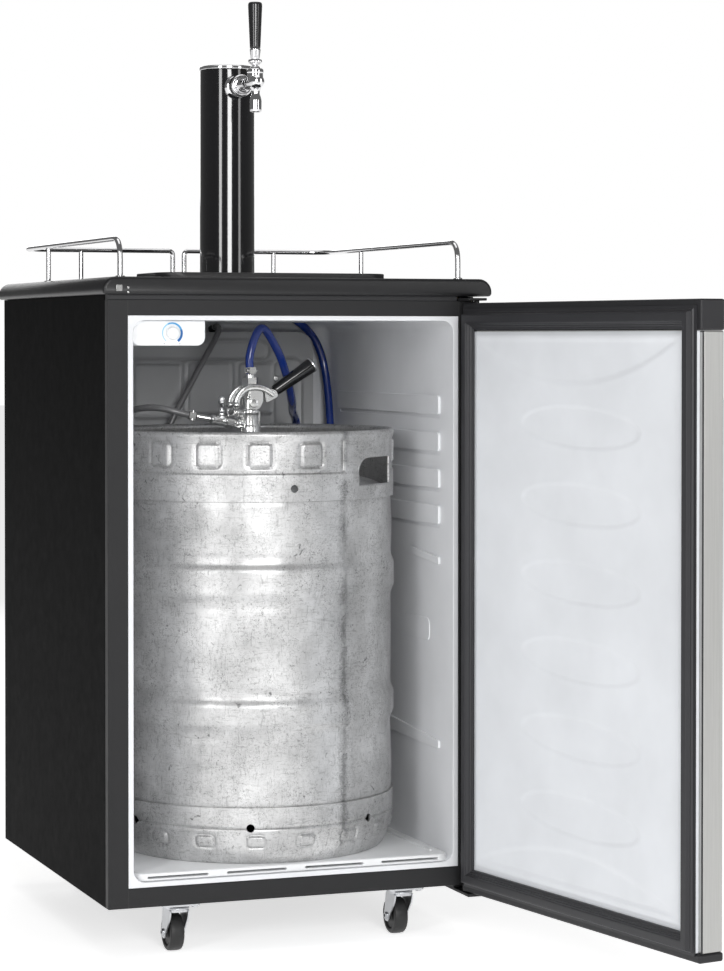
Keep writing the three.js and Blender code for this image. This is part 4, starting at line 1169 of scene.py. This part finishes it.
# ---------- Coupler ----------
def coupler_body():
    flutes = lambda angle, height, radius: np.where((radius > 24) & (height < 678),
                                                    0.5 * np.cos(angle * 12), 0)
    profile = [(9, 664.3), (25, 664.3), (27, 667), (27, 675), (22, 679), (16.5, 682), (14, 688),
               (13.4, 694),
               (12, 698), (12, 711), (13.2, 713), (13.2, 717), (12, 719), (12, 733), (13, 734.4),
               (13, 737), (9, 737.4)]
    body = lathe(soft(profile, 0.9), 0, KEG_Y, 96, flutes)
    pins = [rod(4, (0, KEG_Y + s * 10, 727), (0, KEG_Y + s * 18, 727)) for s in (-1, 1)]
    heads = [rod(6, (0, KEG_Y + s * 17, 727), (0, KEG_Y + s * 19.5, 727)) for s in (-1, 1)]
    port = merge(rod(6.5, (-8, KEG_Y, 697), (-24, KEG_Y, 699.8)),
                 rod(8, (-17, KEG_Y, 698.6), (-21, KEG_Y, 699.2)))
    relief = [rod(4.6, (-9, KEG_Y - 3, 712), (-25, KEG_Y - 8, 715)),
              rod(5.6, (-20, KEG_Y - 6.4, 714), (-23, KEG_Y - 7.4, 714.6))]
    ring = [(-31 + 5 * math.cos(a), KEG_Y - 9, 715 + 5 * math.sin(a)) for a in np.linspace(0, 2 * math.pi,
                                                                                           25)]
    ribs = [block((s * 12.5 - 1.4, s * 12.5 + 1.4), (KEG_Y - 3, KEG_Y + 3), (686, 716)) for s in (-1, 1)]
    make("coupler_skin",
         merge(body, *pins, *heads, port, *relief, *ribs, sweep(ring, circle(0.9, 8), (0, 1, 0))),
         coupler_metal, CABINET, ["coupler_body"])


def coupler_probe():
    hexnut = hexagon(20.5, (0, KEG_Y, 751), (0, KEG_Y, 763))
    stem = lathe(soft([(0, 700), (8.6, 700), (8.6, 749), (10.4, 750), (10.4, 752), (0, 752)], 0.6), 0,
                 KEG_Y, 64)
    barbs = [(0, 762)]
    for k in range(7):
        barbs += [(3.7, 770 + 4 * k), (3.1, 773.6 + 4 * k)]
    top = lathe([(0, 760), (7.4, 762), (7.4, 767.5), (4, 769.5), *barbs[1:], (0, 799)], 0, KEG_Y, 32)
    make("probe_skin", merge(hexnut, stem, top), coupler_metal, "probe", ["coupler_probe"],
         angle=28)


def coupler_lever():
    """A cast yoke that arches over the body, with an arm on each side and a stem for the grip."""
    arch = catmull([(-25, 724), (-22, 736), (-12, 746.5), (2, 749.5), (16, 747), (30, 739)], 6)
    castings = []
    for s in (-1, 1):
        path = [(p[0], KEG_Y + s * 14.6, p[1]) for p in arch]
        castings.append(sweep(path, rectangle(-4.6, 4.6, -3.2, 3.2, 2.6, 4), (0, 0, 1)))
        cheek = prism(soft([(-7, 719), (8, 718.5), (14, 730), (14, 744), (-5, 746)], 4),
                      KEG_Y + s * 14.6 - 1.7, KEG_Y + s * 14.6 + 1.7, "xz")
        castings.append(cheek)
    bridge = prism(soft([(19, 728), (30, 733), (37, 737), (34, 745), (24, 748), (16, 746)], 3), KEG_Y - 15,
                   KEG_Y + 15, "xz")
    back = sphere(5.4, (-25, KEG_Y - 14.6, 725))
    rear = sphere(5.4, (-25, KEG_Y + 14.6, 725))
    stem = rod(4.4, (28, KEG_Y, 737.5), (87, KEG_Y, 777), sides=24)
    nut = hexagon(12, (30, KEG_Y, 739), (34.6, KEG_Y, 742))
    make("yoke_skin", merge(*castings, bridge, back, rear, stem, nut), coupler_metal, "coupler_handle",
         ["coupler_lever"],
         bevel=0.9)


def coupler_grip():
    start, end = np.array((36, KEG_Y, 743.9)), np.array((92, KEG_Y, 780.5))
    long = np.linalg.norm(end - start)
    profile = [(4.9, 0), (7.0, 0), (7.8, 2), (10.6, long - 4), (10.6, long - 0.8), (4.9, long - 0.8)]
    make("grip_skin", aimed(lathe(soft(profile, 0.8), sides=64), start, end - start), grip_black,
         "coupler_handle", ["coupler_grip"])
    ring = [(0, long - 1.6), (10.9, long - 1.6), (11.1, long + 0.6), (10.2, long + 1.4), (0, long + 1.4)]
    make("grip_end_ring", aimed(lathe(soft(ring, 0.4), sides=64), start, end - start), chrome,
         "coupler_handle")


def gas_valve():
    start = np.array((-24.4, KEG_Y, 699.9))
    ahead = np.array((-39.6, 0, 6.8)) / math.hypot(39.6, 6.8)
    place = lambda distance: start + ahead * distance
    turned = lambda profile: aimed(lathe(soft(profile, 0.6), sides=48), start, ahead)
    body = turned([(0, 11), (7.6, 11), (7.6, 15), (6.6, 17), (6.6, 27), (7.4, 29), (7.4, 33), (5.4, 35),
                   (0, 35)])
    barbs = [(0, 34)]
    for k in range(4):
        barbs += [(5.2, 36 + 5 * k), (4.4, 40.4 + 5 * k)]
    tail = aimed(lathe([*barbs, (0, 56)], sides=32), start, ahead)
    stem = lathe(soft([(0, 702), (6, 702), (6, 709), (4.5, 711), (4.5, 713.8), (0, 713.8)], 0.6), -42,
                 KEG_Y, 32)
    make("valve_skin", merge(hexagon(15.5, place(0), place(11)), body, tail, stem), coupler_metal, CABINET,
         ["gas_valve_body"], angle=28)
    hub = lathe(soft([(0, 714.4), (5.4, 714.4), (5.4, 718.6), (0, 719.4)], 0.7), -42, KEG_Y, 32)
    blade = lathe(soft([(0, 717), (2.8, 717), (2.8, 722), (4.8, 727), (5, 734), (3.6, 737.6), (0, 738)],
                       1.2),
                  -42, KEG_Y, 32)
    make("valve_lever_skin", merge(hub, blade), chrome, "gas_lever", ["gas_valve_lever"],
         bevel=0.7)


# ---------- Hoses ----------
BEER_RADIUS, GAS_RADIUS = 6, 4.5
BEER_ROUTE = [
    (0, 197, 767), (0, 197, 796), (18, 201, 832.5), (46, 214, 802), (68, 234, 762), (88, 272, 729),
    (106, 320, 713),
    (134, 383, 694), (154, 424, 640), (182, 438, 600), (212, 446, 622), (219, 468, 689), (216, 485, 773),
    (203, 486, 812), (183, 480, 834), (152, 462, 850), (100, 410, 855), (40, 335, 855), (4, 304, 872),
    (0, 300, 905), (0, 300, 1000), (0, 296, 1100), (0, 292, 1148),
]
GAS_ROUTE = [
    (115, 650, 672), (114, 648, 700), (96, 632, 770), (64, 606, 822), (46, 582, 834), (44, 550, 835),
    (44, 480, 835), (34, 452, 824), (-6, 436, 762), (-46, 428, 692), (-74, 430, 622), (-112, 424, 580),
    (-150, 396, 600), (-160, 352, 680), (-158, 300, 706), (-150, 250, 719), (-128, 208, 721),
             (-97, 197, 713),
    (-81, 197, 709.6),
]


def worm_clamp(centre, along, radius):
    """A slotted band round a hose with its screw housing."""
    band = [(radius - 0.4, -4), (radius + 0.9, -4), (radius + 0.9, 4), (radius - 0.4, 4)]
    slots = lambda angle, height, size: np.where(size > radius + 0.5, 0.25 * np.sign(np.sin(angle * 18)), 0)
    parts = [lathe(band, sides=108, swell=slots)]
    house = block((-4.5, 4.5), (-radius - 6.2, -radius), (-4.6, 4.6))
    worm = aimed(lathe(soft([(0, -8), (3.4, -8), (3.4, -4.4), (2.5, -4), (2.5, 7), (0, 7)], 0.5), sides=20),
                 (0, -radius - 3.6, 0), (1, 0, 0))
    return [aimed(part, centre, along) for part in (*parts, house, worm)]


def hoses():
    beer = sweep(catmull(BEER_ROUTE, 10), circle(BEER_RADIUS, 24), up=(1, 0, 0.1))
    make("beer_line", beer, hose_blue, CABINET, ["beer_hose"])
    gas = sweep(catmull(GAS_ROUTE, 10), circle(GAS_RADIUS, 20), up=(1, 0, 0.1))
    make("gas_line", gas, hose_grey, CABINET, ["gas_hose"])
    clamps = worm_clamp((0, KEG_Y, 773), (0, 0, 1), BEER_RADIUS + 0.2)
    clamps += worm_clamp((-87, KEG_Y, 711), (-0.98, 0, 0.17), GAS_RADIUS + 0.2)
    clamps += worm_clamp((115, 650, 680), (0, 0, 1), GAS_RADIUS + 0.2)
    make("hose_clamps", merge(*clamps), clamp_steel, CABINET)
    grommet = lathe(soft([(4.6, -3), (10, -3), (10, 1), (7, 4), (4.6, 4)], 0.8), sides=48)
    inner = aimed(grommet, (44, 498.5, 835), (0, -1, 0))
    outer = aimed(grommet, (45.4, 572, 834.8), (0, 1, 0))
    make("gas_grommets", merge(inner, outer), tyre_rubber, CABINET)


# ---------- Gas supply ----------
def gas_supply():
    x, y, low, high = 160, 650, 232, 600
    profile = [(0, low + 5), (48, low + 3), (56, low), (62, low + 3), (66, low + 14), (66, high - 60),
               (63, high - 42), (52, high - 22), (34, high - 7), (20, high)]
    valve = [(20, high), (15, high + 4), (15, high + 13), (9.5, high + 16), (9.5, high + 28),
             (12, high + 31),
             (12, high + 57), (5, high + 60), (5, high + 72), (0, high + 72)]
    make("cylinder_skin", lathe(soft([*profile, (0, high)], 9, 5), x, y, 96), cylinder_metal, CABINET,
         ["co2_cylinder"])
    make("cylinder_valve_body", lathe(soft([(0, high - 1), *valve], 0.8), x, y, 64), nickel_brass, CABINET)
    recast("co2_bracket", zinc, CABINET, 0.8)
    scallops = lambda angle, height, radius: np.where(radius > 17, 0.9 * np.cos(angle * 9), 0)
    wheel = [(0, 660.4), (8, 660.4), (8, 663), (18, 663.4), (19, 666), (19, 670), (17, 673), (9, 673.4),
             (8, 676.4),
             (0, 676.4)]
    make("valve_wheel_skin", lathe(soft(wheel, 1), x, y, 108, scallops), cap_plastic, "cylinder_valve",
         ["co2_valve_wheel"])
    regulator(x, y)


def regulator(neck_x, y):
    x, z = 115, 646
    nut = hexagon(20, (neck_x - 12.4, y, z), (neck_x - 22, y, z))
    inlet = rod(6, (neck_x - 21, y, z), (x, y, z))
    bell = aimed(lathe(soft([(0, -22), (15, -22), (17, -14), (17, 4), (13, 8), (12, 14), (6, 16),
                             (0, 16)], 1.5),
                       sides=64), (x, y, z), (0, -1, 0))
    tee = [rod(3.5, (x, y, z), (x - 20, y, z)), rod(3.5, (x, y, z), (x, y, z - 22))]
    barb = rod(3.5, (x, y, z + 10), (x, y, 690))
    make("regulator_skin", merge(nut, inlet, bell, *tee, barb), nickel_brass, CABINET, ["co2_regulator"],
         angle=28)
    for name, dx, dz in (("side", -36, 0), ("low", 0, -38)):
        centre = (x + dx, y + 14, z + dz)
        case = aimed(lathe(soft([(0, -18), (16.5, -18), (18, -15), (18, -1), (17, 0.4), (15.4, 0.4),
                                 (15.2, -2.4),
                                 (0, -2.4)], 0.5), sides=64), centre, (0, 1, 0))
        make(f"gauge_case_{name}", case, chrome, CABINET)
        disc = aimed(lathe([(0, -2.6), (15.3, -2.6), (15.3, -2), (0, -2)], sides=64), centre, (0, 1, 0))
        make(f"gauge_face_{name}", disc, gauge_white, CABINET)
        marks = []
        for k in range(11):
            a = math.radians(-45 + 27 * k)
            reach = (centre[0] + 13.4 * math.cos(a), centre[1] - 1.9, centre[2] + 13.4 * math.sin(a))
            start = (centre[0] + 11 * math.cos(a), centre[1] - 1.9, centre[2] + 11 * math.sin(a))
            marks.append(rod(0.35, start, reach, sides=6, edge=0.05))
        tip = (centre[0] + 8, centre[1] - 1.6, centre[2] + 7)
        marks.append(rod(0.6, (centre[0] - 2, centre[1] - 1.6, centre[2] - 1.8), tip, 0.25, 8, 0.05))
        make(f"gauge_marks_{name}", merge(*marks), tyre_rubber, CABINET)


# ---------- Door ----------
def door_blank(name, u, t, z, material, stands_for, bevel):
    return make(name, block(u, t, z), material, "door", stands_for, door, bevel=bevel, segments=4)


def door_skin():
    low, high = DOOR_LOW + 11.3, DOOR_HIGH - 38.3
    door_blank("door_skin", (0, DOOR_WIDTH), (4.5, DOOR_THICK), (low, high), door_steel, ["door_panel"],
               2.2)
    door_blank("door_upper_cap", (-0.8, DOOR_WIDTH + 0.8), (0, DOOR_THICK + 0.8), (high + 0.3, DOOR_HIGH),
               cap_plastic, ["door_top_cap"], 2.6)
    door_blank("door_lower_cap", (-0.8, DOOR_WIDTH + 0.8), (0, DOOR_THICK + 0.8), (DOOR_LOW, low - 0.3),
               cap_plastic, ["door_bottom_cap"], 2.6)
    trims = [block(u, (3.6, 5.4), (low, high)) for u in ((-0.3, 1.5), (DOOR_WIDTH - 1.5, DOOR_WIDTH + 0.3))]
    make("door_edge_trims", merge(*trims), cap_plastic, "door", place=door, bevel=0.5)


OVAL_HEIGHTS = (704, 605, 505, 405, 305, 205)


def door_relief(u, z):
    """How far the inner panel is pressed in: six shallow lenses and a bow at its top and bottom."""
    middle = DOOR_WIDTH / 2
    depth = np.zeros_like(u)
    for centre in OVAL_HEIGHTS:
        away = u - middle - 16
        lens = (away / 128) ** 2 + ((z - centre + 0.033 * away) / 26) ** 2
        depth += 1.0 * smooth_step((1.12 - lens) / 0.22)
    bow_high = z - (822 - 66 * np.clip(1 - ((u - middle) / 240) ** 2, 0, 1))
    depth += 1.3 * smooth_step(bow_high / 9) * smooth_step((818 - z) / 5)
    bow_low = (110 + 52 * np.clip(1 - ((u - middle) / 240) ** 2, 0, 1)) - z
    depth += 1.3 * smooth_step(bow_low / 9) * smooth_step((z - 112) / 5)
    edge = np.minimum.reduce([u - 30, DOOR_WIDTH - 30 - u, z - 99, 829 - z])
    return depth * smooth_step(edge / 16) - 3.4 * smooth_step(edge / 9)


def door_inner():
    """The white inner panel, a thin formed sheet."""
    columns, rows = 200, 300
    u, z = np.meshgrid(np.linspace(7, DOOR_WIDTH - 7, columns),
                       np.linspace(DOOR_LOW + 12, DOOR_HIGH - 39, rows), indexing="ij")
    make("door_inner_sheet", formed_sheet(u, door_relief(u, z), 4.2, z), door_plastic, "door",
         ["door_liner"], door)


def gasket():
    """A mitred ring of one section: a flat base, a pleated bellows and the magnet strip on top."""
    section = [(0, 0.2), (0, -1.6), (3.2, -2.2), (4, -4.6), (5.6, -5), (6, -8.6), (6.4, -11), (8.4, -11.5),
               (14.6, -11.5), (16.2, -10.6), (16.4, -8.4), (17.8, -7.6), (18.2, -5.6), (19.8, -5.2),
               (20.4, -3.4),
               (22.6, -3.2), (23, 0.2)]
    section = soft(section, 0.7, 2)
    root = 7.0
    points = []
    top, low = DOOR_HIGH - 8, DOOR_LOW + 8
    height_scale = {"low": (98 - low) / 23, "high": (top - 830) / 23}
    corners = ((1, "low"), (-1, "low"), (-1, "high"), (1, "high"))
    for side, end in corners:
        for across, out in section:
            u = root + across if side > 0 else DOOR_WIDTH - root - across
            z = low + across * height_scale["low"] if end == "low" else top - across * height_scale["high"]
            points.append((u, out - 0.3, z))
    count = len(section)
    make("gasket_ring", (np.array(points), ring_faces(4, count)), gasket_rubber, "door", ["door_gasket"],
         door, angle=24)


def hinges():
    recast("hinge_lower", frame_paint, CABINET, 0.9)
    recast("hinge_upper", frame_paint, CABINET, 0.9)
    low = measured("hinge_lower")[0].z
    bolts = [screw((x, y, low), (0, 0, -1), 3.6) for x in (240, 255) for y in (26, 44)]
    bolts += [screw((x, 6, measured("hinge_upper")[1].z - 0.4), (0, 0, 1), 3) for x in (240, 255)]
    make("hinge_screws", merge(*bolts), zinc, CABINET)


# ---------- Casters ----------
CASTER_TRAIL, WHEEL_RADIUS = 18, 25


def caster_mount(name, x, y):
    low, high = measured(f"caster_plate_{name}")
    leaf = prism(rectangle(x - 26, x + 26, y - 26, y + 26, 6), high.z - 2.5, high.z)
    race = lathe(soft([(0, low.z), (14.5, low.z), (17.5, low.z + 1.2), (18.5, low.z + 3.4),
                       (17, high.z - 2),
                       (0, high.z - 2)], 0.8), x, y, 64)
    bolts = []
    for dx in (-19, 19):
        for dy in (-19, 19):
            bolts.append(hexagon(8, (x + dx, y + dy, high.z - 5), (x + dx, y + dy, high.z - 2.3)))
    make(f"caster_mount_{name}", merge(leaf, race, *bolts), zinc, CABINET, [f"caster_plate_{name}"],
         bevel=0.5)


def caster_fork(name, x, y):
    crown = measured(f"caster_fork_{name}")[1].z
    axle_y = y + CASTER_TRAIL
    head = lathe(soft([(0, crown - 4), (16.5, crown - 4), (17, crown - 1.6), (15.5, crown), (0, crown)],
                      0.8),
                 x, y, 64)
    roof = prism(rectangle(x - 13.4, x + 13.4, y - 15, axle_y + 1, [7, 7, 3, 3]), crown - 6.4, crown - 3.4)
    outline = soft([(y - 15, crown - 3.6), (y - 12, crown - 14), (axle_y - 8.5, WHEEL_RADIUS - 2),
                    (axle_y - 6, WHEEL_RADIUS - 7.6), (axle_y + 6, WHEEL_RADIUS - 7.6),
                    (axle_y + 8.4, WHEEL_RADIUS),
                    (axle_y + 4, crown - 14), (axle_y + 2, crown - 3.6)], 5, 5)
    legs = [prism(outline, x + s * 12.6 - 1, x + s * 12.6 + 1, "yz") for s in (-1, 1)]
    bosses = [rod(5, (x + s * 11.6, axle_y, WHEEL_RADIUS),
                  (x + s * 14.6, axle_y, WHEEL_RADIUS)) for s in (-1, 1)]
    axle = rod(3, (x - 16, axle_y, WHEEL_RADIUS), (x + 16, axle_y, WHEEL_RADIUS), sides=24)
    nuts = [aimed(prism(circle(4.6, 6), 0, 2.4), (x + s * 13.6, axle_y, WHEEL_RADIUS),
                  (s, 0, 0)) for s in (-1, 1)]
    make(f"caster_yoke_{name}", merge(head, roof, *legs, *bosses, axle, *nuts), zinc, f"caster_{name}",
         [f"caster_fork_{name}"], bevel=0.6)


def caster_wheel(name, x, y):
    radius = WHEEL_RADIUS
    tread = [(18.6, -9.6), (22.4, -9.8), (24.4, -8.2), (25, -4), (25, 4), (24.4, 8.2), (22.4, 9.8),
             (18.6, 9.6)]
    hub = [(3.4, -10), (7, -10), (8, -8.2), (16.6, -7.4), (18.2, -9.2), (19.2, -9.2), (19.2, 9.2),
           (18.2, 9.2),
           (16.6, 7.4), (8, 8.2), (7, 10), (3.4, 10)]
    centre = (x, y + CASTER_TRAIL, radius)
    parts = [aimed(lathe(soft(profile, 0.9), sides=72), centre, (1, 0, 0)) for profile in (tread, hub)]
    make(f"caster_tyre_{name}", merge(*parts), tyre_rubber, f"wheel_{name}", [f"caster_wheel_{name}"])


def casters():
    for side, x in (("left", -160), ("right", 160)):
        for end, y in (("front", 28), ("rear", 480)):
            name = f"{end}_{side}"
            caster_mount(name, x, y)
            caster_fork(name, x, y)
            caster_wheel(name, x, y)


for build in (
    camera, studio, floor, cabinet_panels, frame_joints, hinge_plugs, liner, liner_backing,
    liner_ridges, countertop, floor_plate, evaporator, control_box, knob, compressor, bay_lining,
    condenser, guard_rails, tower, tap, tap_lever, drip_tray, keg_shell, top_chime, bottom_chime,
    keg_neck, coupler_body, coupler_probe, coupler_lever, coupler_grip, gas_valve, hoses, gas_supply,
    door_skin, door_inner, gasket, hinges, casters,
):
    build()
